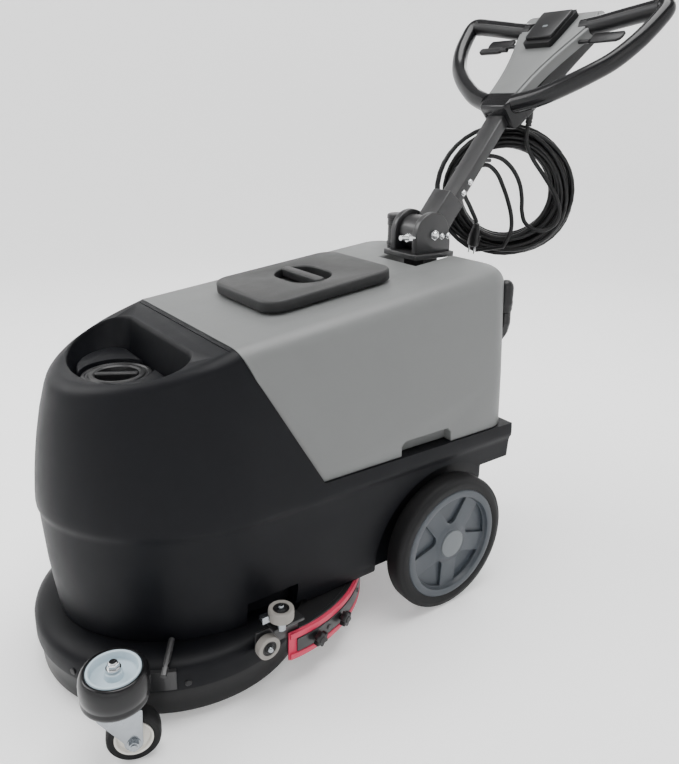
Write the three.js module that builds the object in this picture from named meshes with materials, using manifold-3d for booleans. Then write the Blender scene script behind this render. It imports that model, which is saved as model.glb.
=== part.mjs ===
// Walk-behind wet and dry floor scrubber with a single disc brush, mains powered.
// Millimetres, +Z up. The front of the machine faces -Y, its left side is +X, the operator
// stands at +Y. The origin lies on the floor, at the middle of the machine's outline.

import * as THREE from "three";
import { mergeVertices } from "three/addons/utils/BufferGeometryUtils.js";
import Module from "manifold-3d";

const wasm = await Module();
wasm.setup();

// ---------------------------------------------------------------- driving dimensions

const GAP = 0.3; // between parts that touch
const WALL = 6; // moulded tank walls

// Solution tank: half width and front of its outline at each height.
const BODY_LEVELS = [
  { z: 99.5, half: 193, front: -549 },
  { z: 200, half: 206, front: -562 },
  { z: 289, half: 212, front: -567 },
  { z: 295, half: 216, front: -571 },
  { z: 400, half: 207, front: -560 },
  { z: 480, half: 201, front: -541 },
  { z: 530, half: 191, front: -512 },
  { z: 556, half: 178, front: -480 },
];
const BODY_REAR = 236;
const NOSE_START = -314; // where the straight sides turn into the round nose
const NOSE_POWER = 1.9; // roundness of the nose, 2 is an ellipse
const NOSE_TOP = { y: -327, z: 553, fall: 0.27 };
const SEAM = { topFront: [-327, 553], sideFront: [-307, 510], lower: [-196, 322], rearZ: 318 };
const TAIL = { frontY: 0, frontZ: 95, backY: 110, z: 248 };
const HOSE_GROOVE = { half: 22, front: -84, rear: 118, top: 276 };

const TANK_HALF = 211; // recovery tank, half width at its lower edge
const TANK_TOP_HALF = 196;
const TANK_CREASE = 40; // soft edge between top and sides
const TANK_CORNER = 55; // upright rear corners
const TANK_TOP = { y: -327, z: 553, rise: 0.118 };
const CHANNEL_HALF = 53; // channel for the handle post at the tank's rear
const CHANNEL_FRONT = 118;
const NOTCH = { front: -36, rear: 78, top: 346, deep: 18 };

const LID = { half: 101, front: -227, rear: 34, thick: 20, corner: 34 };
const WELL = { rear: -372, mid: -404, half: 140, reach: 100, floor: 470 };
const CAP = { y: -438, radius: 52, z: 471 };

const DRAIN = { x: 176, y: 232, z: 528 };

const DECK = { y: -360, radius: 229.5, low: 58, top: 106 };
const SKIRT = { outer: 222.5, inner: 214.5, low: 13 };
const BRUSH = { outer: 205, inner: 74, block: 190 };

const WHEEL = { y: 73, radius: 128, inner: 199, outer: 239, rim: 109 };
const AXLE_Z = 128;
const BUMPER = { x: 214, y: -544, low: 102, high: 150, radius: 48, core: 40 };
const CASTER = { radius: 38, width: 28, trail: 20, turn: 0.36 };

const ARC = { y: -259, start: -0.085, low: 47, top: 98 }; // squeegee arc about (0, ARC.y)
const SIDE_ROLLER = { x: 246, y: -298, radius: 20, low: 136, high: 160 };
const SIDE_WHEEL = { x: 246, y: -322, z: 100, radius: 19, width: 14 };

const PIVOT = { y: 173, z: 656 }; // handle hinge
const COLUMN = { half: 22, top: -12, under: -36, lean: 0.904, foot: 78, length: 300 };
const HEAD_SLOPE = 0.757; // the head leans back at this angle, radians from level
const TUBE = 16; // radius of the handle tube
const CORD_RADIUS = 4.5;
const COIL = { x: -17, y: 430, z: 720, outer: 136.5, inner: 90, half: 22, turn: 0.715 };

// ---------------------------------------------------------------- finishes

function finish(colour, roughness, metalness = 0) {
  return new THREE.MeshStandardMaterial({ color: colour, roughness, metalness });
}
const blackShell = finish(0x1d1d20, 0.55);
const greyShell = finish(0x8e9392, 0.5);
const darkLid = finish(0x3c3d3f, 0.5);
const blackPlastic = finish(0x17171a, 0.4);
const blackRubber = finish(0x121214, 0.75);
const blackPaint = finish(0x1b1b1e, 0.45, 0.4);
const rimGrey = finish(0x65717c, 0.45);
const rollerGrey = finish(0x98938b, 0.6);
const zinc = finish(0xb9bec4, 0.35, 0.9);
const redRubber = finish(0xc24458, 0.55);
const brushResin = finish(0xa98f45, 0.6);
const bristleBlack = finish(0x1a1a1a, 0.9);
const white = finish(0xdedad0, 0.4);

// ---------------------------------------------------------------- making solids

const machine = new THREE.Group();
machine.name = "floor_scrubber";

function signedVolume(position, index) {
  const a = new THREE.Vector3();
  const b = new THREE.Vector3();
  const c = new THREE.Vector3();
  let volume = 0;
  for (let i = 0; i < index.count; i += 3) {
    a.fromBufferAttribute(position, index.getX(i));
    b.fromBufferAttribute(position, index.getX(i + 1));
    c.fromBufferAttribute(position, index.getX(i + 2));
    volume += a.dot(b.cross(c));
  }
  return volume;
}

// A closed geometry as a solid, with its faces pointing out.
function solid(geometry) {
  geometry.deleteAttribute("normal");
  geometry.deleteAttribute("uv");
  const merged = mergeVertices(geometry, 1e-3);
  const corners = new Uint32Array(merged.index.array);
  if (signedVolume(merged.attributes.position, merged.index) < 0) {
    for (let i = 0; i < corners.length; i += 3) {
      [corners[i], corners[i + 1]] = [corners[i + 1], corners[i]];
    }
  }
  return new wasm.Manifold(
    new wasm.Mesh({
      numProp: 3,
      vertProperties: new Float32Array(merged.attributes.position.array),
      triVerts: corners,
    }),
  );
}

function part(name, body, material) {
  const mesh = body.getMesh();
  const geometry = new THREE.BufferGeometry();
  geometry.setAttribute("position", new THREE.BufferAttribute(mesh.vertProperties, 3));
  geometry.setIndex(new THREE.BufferAttribute(mesh.triVerts, 1));
  const piece = new THREE.Mesh(geometry, material);
  piece.name = name;
  machine.add(piece);
  return piece;
}

function joined(...bodies) {
  return bodies.reduce((whole, body) => whole.add(body));
}

function cut(body, ...tools) {
  return tools.reduce((rest, tool) => rest.subtract(tool), body);
}

function box(x0, x1, y0, y1, z0, z1) {
  const geometry = new THREE.BoxGeometry(x1 - x0, y1 - y0, z1 - z0);
  return solid(geometry.translate((x0 + x1) / 2, (y0 + y1) / 2, (z0 + z1) / 2));
}

// A turned solid. The profile lists [radius, distance along the axis].
function turned(profile, sides, axis = "z") {
  const points = profile.map(([r, h]) => new THREE.Vector2(r, h));
  const geometry = new THREE.LatheGeometry(points, sides);
  if (axis === "z") geometry.rotateX(Math.PI / 2);
  if (axis === "x") geometry.rotateZ(-Math.PI / 2);
  return solid(geometry);
}

function disc(radius, from, to, sides = 24, axis = "z") {
  return turned([[0, from], [radius, from], [radius, to], [0, to]], sides, axis);
}

function ring(inner, outer, from, to, sides = 40, axis = "z") {
  const profile = [[inner, from], [outer, from], [outer, to], [inner, to], [inner, from]];
  return turned(profile, sides, axis);
}

// A round bar from one point to another.
function bar(start, end, radius, sides = 12) {
  const from = new THREE.Vector3(...start);
  const along = new THREE.Vector3(...end).sub(from);
  const geometry = new THREE.CylinderGeometry(radius, radius, along.length(), sides);
  geometry.translate(0, along.length() / 2, 0);
  const turn = new THREE.Quaternion().setFromUnitVectors(
    new THREE.Vector3(0, 1, 0),
    along.clone().normalize(),
  );
  return solid(geometry.applyQuaternion(turn).translate(from.x, from.y, from.z));
}

// A round section swept along a smooth curve through the points.
function tube(points, radius, sides, steps) {
  const path = new THREE.CatmullRomCurve3(points.map((p) => new THREE.Vector3(...p)));
  const section = new THREE.Shape();
  for (let i = 0; i < sides; i += 1) {
    const angle = (i / sides) * Math.PI * 2;
    const corner = [radius * Math.cos(angle), radius * Math.sin(angle)];
    if (i === 0) section.moveTo(...corner);
    else section.lineTo(...corner);
  }
  section.closePath();
  return solid(new THREE.ExtrudeGeometry(section, { steps, extrudePath: path, curveSegments: 1 }));
}

// A flat outline, given in (x, y), raised from one height to another.
function raised(shape, from, to, curveSegments = 8) {
  const options = { depth: to - from, bevelEnabled: false, curveSegments };
  return solid(new THREE.ExtrudeGeometry(shape, options).translate(0, 0, from));
}

// A side view outline, given in (y, z), made as wide as from x0 to x1.
function sideCut(outline, x0, x1) {
  const shape = new THREE.Shape(outline.map(([y, z]) => new THREE.Vector2(y, z)));
  const geometry = new THREE.ExtrudeGeometry(shape, { depth: x1 - x0, bevelEnabled: false });
  geometry.rotateX(Math.PI / 2).rotateZ(Math.PI / 2);
  return solid(geometry.translate(x0, 0, 0));
}

function roundedRectangle(x0, x1, y0, y1, radius) {
  const shape = new THREE.Shape();
  shape.absarc(x1 - radius, y1 - radius, radius, 0, Math.PI / 2);
  shape.absarc(x0 + radius, y1 - radius, radius, Math.PI / 2, Math.PI);
  shape.absarc(x0 + radius, y0 + radius, radius, Math.PI, Math.PI * 1.5);
  shape.absarc(x1 - radius, y0 + radius, radius, Math.PI * 1.5, Math.PI * 2);
  shape.closePath();
  return shape;
}

// A body turned about the Z axis, then moved.
function placed(body, x, y, z, turn = 0) {
  return body.rotate([0, 0, THREE.MathUtils.radToDeg(turn)]).translate([x, y, z]);
}

// ---------------------------------------------------------------- solution tank

// The moulded form: an outline that follows BODY_LEVELS up the tank, drawn in by inset.
function bodyForm(inset) {
  const reference = BODY_LEVELS[3];
  const corners = 16;
  const shape = new THREE.Shape();
  shape.moveTo(reference.half, BODY_REAR - inset);
  for (let i = 0; i <= corners; i += 1) {
    const angle = (i / corners) * Math.PI;
    const across = Math.sign(Math.cos(angle)) * Math.abs(Math.cos(angle)) ** (2 / NOSE_POWER);
    const reach = Math.sin(angle) ** (2 / NOSE_POWER);
    shape.lineTo(reference.half * across, NOSE_START - (NOSE_START - reference.front) * reach);
  }
  shape.lineTo(-reference.half, BODY_REAR - inset);
  const steps = BODY_LEVELS.length - 1;
  const geometry = new THREE.ExtrudeGeometry(shape, { depth: steps, steps, bevelEnabled: false });
  const position = geometry.attributes.position;
  for (let i = 0; i < position.count; i += 1) {
    const level = BODY_LEVELS[Math.round(position.getZ(i))];
    const y = position.getY(i);
    const forward = (NOSE_START - level.front - inset) / (NOSE_START - reference.front);
    position.setX(i, (position.getX(i) * (level.half - inset)) / reference.half);
    if (y < NOSE_START) position.setY(i, NOSE_START + (y - NOSE_START) * forward);
    position.setZ(i, level.z);
  }
  return solid(geometry);
}

// Everything above and behind the seam, where the recovery tank sits.
function seat(grow) {
  const { topFront, sideFront, lower, rearZ } = SEAM;
  const outline = [
    [topFront[0] - grow, 760],
    [topFront[0] - grow, topFront[1]],
    [sideFront[0] - grow, sideFront[1]],
    [lower[0] - grow, lower[1] - grow],
    [300, rearZ - grow],
    [300, 760],
  ];
  return sideCut(outline, -260, 260);
}

// Everything above the sloping top of the nose.
function aboveNose(grow) {
  const { y, z, fall } = NOSE_TOP;
  const low = z - grow - fall * 300;
  const outline = [[y - 300, low], [y + 60, z - grow + fall * 60], [y + 60, 760], [y - 300, 760]];
  return sideCut(outline, -260, 260);
}

// The hand well in the nose: a rounded D that narrows towards its floor.
function well(grow) {
  const { rear, mid, half, reach, floor } = WELL;
  const shape = new THREE.Shape();
  shape.absarc(half - 34 + grow, mid - 2, 34, 0, Math.PI / 2);
  shape.absarc(-half + 34 - grow, mid - 2, 34, Math.PI / 2, Math.PI);
  shape.absellipse(0, mid - 4, half + grow, reach + grow, Math.PI, Math.PI * 2);
  shape.closePath();
  const depth = 600 - floor + grow;
  const geometry = new THREE.ExtrudeGeometry(shape, { depth, bevelEnabled: false, curveSegments: 8 });
  const position = geometry.attributes.position;
  const middle = (rear + mid - reach) / 2;
  for (let i = 0; i < position.count; i += 1) {
    const scale = position.getZ(i) < 1 ? 0.84 : 1.12;
    position.setX(i, position.getX(i) * scale);
    position.setY(i, middle + (position.getY(i) - middle) * scale);
  }
  return solid(geometry.translate(0, 0, floor - grow));
}

// Free space under the tank at the rear, behind the wheels' axle.
function underTail(grow) {
  const { frontY, frontZ, backY, z } = TAIL;
  const outline = [
    [frontY - 60 - grow, 0],
    [frontY - grow, frontZ],
    [backY - grow, z + grow],
    [300, z + grow],
    [300, 0],
  ];
  return sideCut(outline, -260, 260);
}

function wheelArches(grow) {
  const arch = disc(146 + grow, 178 - grow, 260, 32, "x").translate([0, WHEEL.y, AXLE_Z]);
  return arch.add(arch.mirror([1, 0, 0]));
}

function solutionTank() {
  const motorWell = (grow) => disc(96 + grow, 60, 330 + grow, 28).translate([0, DECK.y, 0]);
  const underside = bodyForm(14).subtract(box(-260, 260, -700, 300, 134, 800));
  const vacuumPocket = (grow) => disc(52 + grow, 200, 312 + grow, 24).translate([112, 168, 0]);
  const groove = (grow) => box(-HOSE_GROOVE.half - grow, HOSE_GROOVE.half + grow,
    HOSE_GROOVE.front - grow, HOSE_GROOVE.rear + grow, 60, HOSE_GROOVE.top + grow);
  const postChannel = (grow) => box(-36 - grow, 36 + grow, 118 - grow, 300, 60, 400);
  const armNotch = box(170, 260, -330, -236, 60, 146);
  const sideSkirt = box(-260, 260, -340, -240, 60, 107);
  const deckClearance = disc(240, 60, 107, 40).translate([0, DECK.y, 0]);
  const outer = cut(
    bodyForm(0), seat(0.2), aboveNose(0), well(0), underTail(0), wheelArches(0), deckClearance,
    underside, motorWell(0), vacuumPocket(0), postChannel(0), armNotch,
    armNotch.mirror([1, 0, 0]), sideSkirt, groove(0),
  );
  const cavity = cut(
    bodyForm(WALL), seat(WALL), aboveNose(WALL), well(WALL), underTail(WALL), wheelArches(WALL),
    motorWell(WALL), vacuumPocket(WALL), postChannel(WALL), groove(WALL), box(-260, 260, -700, 300, 0, 154),
    box(-260, 260, 90, 300, 0, 500),
  );
  const fillHole = disc(38, 440, 500, 24).translate([0, CAP.y, 0]);
  part("solution_tank", cut(outer, cavity, fillHole), blackShell);
}

function fillerCap() {
  const { y, radius, z } = CAP;
  const cap = joined(
    disc(radius, z + GAP, z + 12, 32),
    box(-44, 44, -7, 7, z + 10, z + 22),
    disc(36.5, z - 14, z + 2, 24),
  );
  part("filler_cap", placed(cap, 0, y, 0, 0.5), blackPlastic);
}

// ---------------------------------------------------------------- recovery tank

// The tank's form: a rounded top extruded along Y, sheared so that it rises to the rear.
function tankForm(inset) {
  const half = TANK_HALF - inset;
  const top = TANK_TOP_HALF - inset;
  const radius = TANK_CREASE - inset;
  const height = TANK_TOP.z - inset;
  const shape = new THREE.Shape();
  shape.moveTo(half, 200);
  shape.lineTo(top, height - radius);
  shape.absarc(top - radius, height - radius, radius, 0, Math.PI / 2);
  shape.absarc(-top + radius, height - radius, radius, Math.PI / 2, Math.PI);
  shape.lineTo(-half, 200);
  const geometry = new THREE.ExtrudeGeometry(shape, {
    depth: 600, bevelEnabled: false, curveSegments: 6,
  });
  geometry.rotateX(Math.PI / 2).translate(0, 250, 0);
  const position = geometry.attributes.position;
  for (let i = 0; i < position.count; i += 1) {
    const lift = TANK_TOP.rise * (position.getY(i) - TANK_TOP.y);
    position.setZ(i, position.getZ(i) + (position.getZ(i) > 250 ? lift : 0));
  }
  const plan = roundedRectangle(
    -half - 4, half + 4, -400, BODY_REAR - inset, TANK_CORNER - inset,
  );
  return solid(geometry).intersect(raised(plan, 200, 760, 5));
}

function lidFrame(body) {
  const angle = THREE.MathUtils.radToDeg(Math.atan(TANK_TOP.rise));
  const middle = (LID.front + LID.rear) / 2;
  const z = TANK_TOP.z + TANK_TOP.rise * (middle - TANK_TOP.y);
  return body.rotate([angle, 0, 0]).translate([0, middle, z]);
}

const LID_REACH = (LID.rear - LID.front) / 2;

function recoveryTank() {
  const opening = lidFrame(raised(roundedRectangle(-80, 80, -104, 104, 26), -60, 60, 5));
  const channel = (grow) =>
    box(-CHANNEL_HALF - grow, CHANNEL_HALF + grow, CHANNEL_FRONT - grow, 300, 200, 760);
  const notch = (grow) =>
    box(TANK_HALF - NOTCH.deep - grow, 260, NOTCH.front - grow, NOTCH.rear + grow, 300,
      NOTCH.top + grow);
  const shell = cut(
    tankForm(0).intersect(seat(-0.2)), channel(0), notch(0), notch(0).mirror([1, 0, 0]),
  );
  const inside = seat(-WALL).intersect(box(-260, 260, -400, 300, 324, 760));
  const cavity = cut(
    tankForm(WALL).intersect(inside), channel(WALL), notch(WALL), notch(WALL).mirror([1, 0, 0]),
  );
  const drainRecess = (grow) => joined(
    disc(17 + grow, 490, 700, 18).translate([DRAIN.x, DRAIN.y, 0]), drainRun(15.5 + grow, 8, 10),
  );
  part("recovery_tank",
    cut(shell, cavity.subtract(drainRecess(WALL)), opening, drainRecess(0)), greyShell);
}

function lid() {
  const { half, thick, corner } = LID;
  const seal = cut(
    raised(roundedRectangle(-90, 90, -114, 114, 32), GAP, 4, 4),
    raised(roundedRectangle(-82, 82, -106, 106, 26), -1, 6, 4),
  );
  part("lid_seal", lidFrame(seal), blackRubber);
  const plate = raised(roundedRectangle(-half, half, -LID_REACH, LID_REACH, corner), 4.3, thick + 4, 6);
  const oval = new THREE.Shape().absellipse(0, 0, 58, 40, 0, Math.PI * 2);
  const recess = raised(oval, thick - 10, thick + 10, 8);
  const grip = box(-52, 52, -9, 9, thick - 12, thick + 3);
  part("recovery_lid", lidFrame(joined(cut(plate, recess), grip)), darkLid);
  part("float_cage", disc(28, 470, 560, 20).translate([0, -160, 0]), white);
}

function rearNeck() {
  const neck = turned(
    [[0, 0], [19, 0], [19, 12], [25, 16], [25, 56], [18, 56], [18, 20], [0, 20]], 24,
  );
  part("rear_filler_neck", neck.translate([-73, 186, 617.5]), blackPlastic);
  const lidTop = joined(
    disc(27.5, 0, 9, 24),
    box(-34, -24, -7, 7, 0, 7),
  );
  part("rear_filler_cap", lidTop.translate([-73, 186, 674]), blackPlastic);
}

// The drain hose hangs down the tank's rear from its capped end at the corner.
function drainRun(radius, sides, steps) {
  const { x, y, z } = DRAIN;
  return tube([
    [x, y, z], [x - 2, y + 2, z - 30], [150, 246, 470], [112, 249.5, 420], [84, 250, 350],
  ], radius, sides, steps);
}

function drain() {
  const { x, y, z } = DRAIN;
  part("drain_cap", turned(
    [[0, 0], [12, 0], [14, 8], [14, 50], [8, 60], [0, 60]], 18,
  ).translate([x, y, z + GAP]), blackPlastic);
  part("drain_hose", cut(drainRun(12, 8, 10), box(150, 200, 200, 260, z, z + 20)), blackRubber);
}

// ---------------------------------------------------------------- frame and drive

function chassis() {
  const rail = box(126, 146, -280, 118, 112, 133.6);
  const post = box(-28, 28, 160, 196, 112, 611);
  const foot = box(-28, 28, 60, 196, 112, 130);
  const frame = joined(
    rail, rail.mirror([1, 0, 0]), box(-146, 146, 40, 62, 112, 126), box(-146, 146, -118, -92, 124, 133.6),
    box(-146, 146, -262, -240, 112, 133.6), foot, post,
  );
  const axle = disc(8, -233, 233, 18, "x").translate([0, WHEEL.y, AXLE_Z]);
  const guides = [-60, 60].map((x) => bar([x, -105, 126], [x, -105, 48], 8));
  part("chassis_frame", joined(frame, axle, ...guides), blackPaint);
}

function deck() {
  const { y, radius, low, top } = DECK;
  const cover = turned([
    [40, top - 8], [200, top - 8], [radius - 10, top - 20], [radius - 8, low], [radius, low],
    [radius, top - 18], [radius - 16, top], [40, top], [40, top - 8],
  ], 40);
  part("deck_cover", cover.translate([0, y, 0]), blackShell);
  const skirt = ring(SKIRT.inner, SKIRT.outer, SKIRT.low, low - GAP, 40);
  part("splash_skirt", skirt.translate([0, y, 0]), blackRubber);
  part("brush_motor", turned([
    [0, top + GAP], [88, top + GAP], [88, 170], [66, 180], [66, 300], [40, 316], [0, 316],
  ], 28).translate([0, y, 0]), blackPaint);
  part("brush_block", turned([
    [0, 46], [60, 46], [60, 40], [BRUSH.block, 40], [BRUSH.block, 56], [150, 64], [60, 64],
    [24, 72], [24, 97], [0, 97],
  ], 24).translate([0, y, 0]), brushResin);
  part("brush_bristles", turned([
    [BRUSH.inner, 0.2], [BRUSH.outer, 0.2], [BRUSH.block - 4, 39.7], [BRUSH.inner + 6, 39.7],
    [BRUSH.inner, 0.2],
  ], 24).translate([0, y, 0]), bristleBlack);
  const waterHose = tube(
    [[82, -213, 119], [98, -214, 119], [108, -222, 116], [110, -232, 109], [110, -234, 106.6]],
    5, 8, 10,
  );
  const valve = joined(box(50, 84, -226, -200, 108, 131), waterHose);
  part("water_valve", valve.subtract(box(90, 130, -260, -200, 90, top + GAP)), blackPlastic);
  part("vacuum_motor", disc(47, 252, 308, 24).translate([112, 168, 0]), blackPaint);
  const hose = tube([
    [0, -58, 114.3], [0, -58, 126], [0, -40, 150], [0, 0, 170], [0, 50, 178], [0, 92, 198],
    [0, 122, 240], [0, 137, 300], [0, 137, 400], [0, 137, 500], [0, 133, 550], [0, 116, 566],
  ], 14, 8, 20);
  const ends = joined(
    box(-20, 20, -80, -30, 90, 114.3), box(-20, 20, 90, CHANNEL_FRONT + GAP, 500, 620),
  );
  part("suction_hose", hose.subtract(ends), blackRubber);
}

// ---------------------------------------------------------------- wheels

function rearWheel(side) {
  const where = side > 0 ? "left" : "right";
  const { inner, outer, radius, rim, y } = WHEEL;
  const middle = (inner + outer) / 2;
  const put = (body) => (side > 0 ? body : body.mirror([1, 0, 0])).translate([0, y, AXLE_Z]);
  const tyre = turned([
    [rim + GAP, inner + 2], [radius - 8, inner], [radius - 1, inner + 7], [radius, middle - 6],
    [radius, middle + 6], [radius - 1, outer - 7], [radius - 8, outer], [rim + GAP, outer - 2],
    [rim + GAP, inner + 2],
  ], 32, "x");
  part(`rear_tyre_${where}`, put(tyre), blackRubber);
  let wheel = turned([
    [8.4, inner + 4], [rim, inner + 4], [rim, outer - 3], [97, outer - 3], [95, outer - 7],
    [34, outer - 9], [34, outer - 12], [8.4, outer - 12], [8.4, inner + 4],
  ], 32, "x");
  const pocket = new THREE.Shape();
  pocket.absarc(0, 0, 88, -0.42, 0.42);
  pocket.absarc(0, 0, 44, 0.3, -0.3, true);
  pocket.closePath();
  for (let i = 0; i < 5; i += 1) {
    const tool = raised(pocket, outer - 18, outer + 5, 2).rotate([0, 0, 90 + i * 72]);
    wheel = wheel.subtract(tool.rotate([0, 90, 0]));
  }
  const cap = turned(
    [[0, outer - 5.6], [8, outer - 14], [30, outer - 14], [30, outer - 4], [20, outer], [0, outer + 1]],
    16, "x",
  );
  part(`rear_rim_${where}`, put(cut(joined(wheel, cap), disc(8.4, 0, 233.4, 16, "x"))), rimGrey);
}

function bumper() {
  const { x, y, low, high, radius, core } = BUMPER;
  const put = (body) => body.translate([x, y, 0]);
  part("bumper_roller", put(turned([
    [6.3, low], [radius - 3, low], [radius, low + 8], [radius - 1, high - 9], [radius - 5, high],
    [core - 4, high], [core - 6, high - 14], [12, high - 14], [10, high - 3], [6.3, high - 3],
    [6.3, low],
  ], 28)), blackRubber);
  const bolt = joined(
    disc(6, 86, high + 4, 14), disc(10, high - 2.7, high + 3, 18), disc(8.5, high + 3, high + 9, 6),
  );
  part("bumper_bolt", put(bolt), zinc);
  const plate = new THREE.Shape();
  plate.absarc(0, 0, 27, 0.9, 4.4, true);
  plate.lineTo(-52, 20);
  plate.lineTo(-20, 46);
  plate.closePath();
  const flange = new THREE.Shape();
  flange.absarc(0, 0, 237, -1.0, -0.42);
  flange.absarc(0, 0, 230.2, -0.42, -1.0, true);
  flange.closePath();
  const arm = joined(
    placed(raised(plate, 94.3, 101.4, 8), x, y, 0),
    placed(raised(flange, 70, 101.4, 8), 0, DECK.y, 0),
    bar([212, -474, 98], [168, -441, 117], 5, 8),
  );
  const boltHole = disc(6.3, 60, 140, 16).translate([x, y, 0]);
  const deckSide = disc(229.8, 50, 106.4, 40).translate([0, DECK.y, 0]);
  part("caster_arm", cut(arm, boltHole, deckSide), blackPaint);
}

function caster() {
  const { x, y } = BUMPER;
  const { radius, width, trail, turn } = CASTER;
  const put = (body) => placed(body, x, y, 0, -turn);
  const atWheel = (body) => put(body.translate([0, trail, radius]));
  const leg = (side) => {
    const shape = new THREE.Shape();
    shape.moveTo(-26, 89);
    shape.lineTo(trail + 14, 89);
    shape.absarc(trail, radius, 13, 0.2, -3.3, true);
    shape.closePath();
    const outline = shape.getPoints(5).map((p) => [p.x, p.y]);
    return sideCut(outline, side * 19.5 - 1.5, side * 19.5 + 1.5);
  };
  const crown = raised(roundedRectangle(-21, 21, -26, trail + 14, 8), 88, 93.8, 3);
  const axle = joined(
    disc(5, -27, 27, 12, "x"), disc(8, 20, 26, 6, "x"), disc(8, -26, -20, 6, "x"),
  );
  const bracket = cut(joined(crown, leg(1), leg(-1)), disc(6.4, 60, 120, 16));
  part("caster_fork", put(joined(bracket, axle.translate([0, trail, radius]))), zinc);
  const half = width / 2;
  part("caster_wheel", atWheel(turned([
    [5.3, -half - 1], [12, -half - 1], [16, -half + 3], [radius - 4, -half], [radius, -half + 6],
    [radius, half - 6], [radius - 4, half], [16, half - 3], [12, half + 1], [5.3, half + 1],
    [5.3, -half - 1],
  ], 24, "x")), blackRubber);
}

// ---------------------------------------------------------------- brush and squeegee

function arcBand(inner, outer, from, to, trim = 0, sides = 22) {
  const shape = new THREE.Shape();
  const start = ARC.start + trim;
  const end = Math.PI - start;
  shape.absarc(0, 0, outer, start, end);
  shape.absarc(0, 0, inner, end, start, true);
  shape.closePath();
  return raised(shape, from, to, sides).translate([0, ARC.y, 0]);
}

function squeegee() {
  const { low, top } = ARC;
  const mount = joined(
    arcBand(226.4, 236, top - 14, top, -ARC.start),
    box(-84, 84, -129.8, -26, top, top + 10),
  );
  const holes = [-60, 60].map((x) => disc(8.5, 70, 130, 16).translate([x, -105, 0]));
  const port = disc(16, top - 4, 114, 16).translate([0, -58, 0]);
  part("squeegee_body", cut(joined(mount, port), ...holes), blackPaint);
  part("front_blade", arcBand(222.6, 226, low + 2, top - 2, 0.02), blackRubber);
  part("rear_blade", arcBand(236.3, 239.3, low, top), redRubber);
  part("blade_strap", arcBand(239.6, 242, low + 13, top - 14, 0.06), zinc);
  const angles = [0.13, 0.38, Math.PI - 0.38, Math.PI - 0.13];
  angles.forEach((angle, i) => {
    const stem = disc(4.5, 242.3, 248, 10, "x");
    const star = new THREE.Shape();
    for (let k = 0; k < 12; k += 1) {
      const radius = k % 2 ? 7 : 12;
      const corner = [radius * Math.cos((k * Math.PI) / 6), radius * Math.sin((k * Math.PI) / 6)];
      if (k === 0) star.moveTo(...corner);
      else star.lineTo(...corner);
    }
    star.closePath();
    const knob = raised(star, 247, 257, 1).rotate([0, 90, 0]);
    part(`strap_knob_${i + 1}`, placed(joined(stem, knob), 0, ARC.y, low + 25, angle), blackPlastic);
  });
  for (const side of [-1, 1]) {
    const where = side > 0 ? "left" : "right";
    const put = (body) => (side > 0 ? body : body.mirror([1, 0, 0]));
    const { x, y, radius, low: from, high } = SIDE_ROLLER;
    part(`side_roller_${where}`, put(ring(5.3, radius, from, high, 24).translate([x, y, 0])), rollerGrey);
    const w = SIDE_WHEEL;
    const near = w.x - w.width / 2;
    const tyre = ring(5.3, w.radius, near, near + w.width, 24, "x").translate([0, w.y, w.z]);
    part(`side_wheel_${where}`, put(tyre), rollerGrey);
    const rollerPin = joined(
      disc(5, 122, high + 2, 12), disc(8, 122, from - GAP, 16), disc(9, high + GAP, high + 3, 16),
    ).translate([x, y, 0]);
    const wheelPin = joined(
      disc(5, near - 8, near + w.width + 3, 12, "x"),
      disc(8, near + w.width + GAP, near + w.width + 5, 6, "x"),
    ).translate([0, w.y, w.z]);
    const plate = joined(box(226, 250, -312, -258, 121, 126), box(230, 235, -336, -260, 90, 126));
    const wing = plate.subtract(disc(231.6, 50, 140, 48).translate([0, DECK.y, 0]));
    part(`side_bracket_${where}`, put(joined(wing, rollerPin, wheelPin)), zinc);
  }
}

// ---------------------------------------------------------------- handle

// A point given along the column's axis (up it) and out from its upper face.
function onColumn(along, out) {
  const y = PIVOT.y + along * Math.cos(COLUMN.lean) - out * Math.sin(COLUMN.lean);
  const z = PIVOT.z + along * Math.sin(COLUMN.lean) + out * Math.cos(COLUMN.lean);
  return [y, z];
}

function columnBlock(from, to, outFrom, outTo, half) {
  const outline = [
    onColumn(from, outFrom), onColumn(to, outFrom), onColumn(to, outTo), onColumn(from, outTo),
  ];
  return sideCut(outline, -half, half);
}

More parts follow.
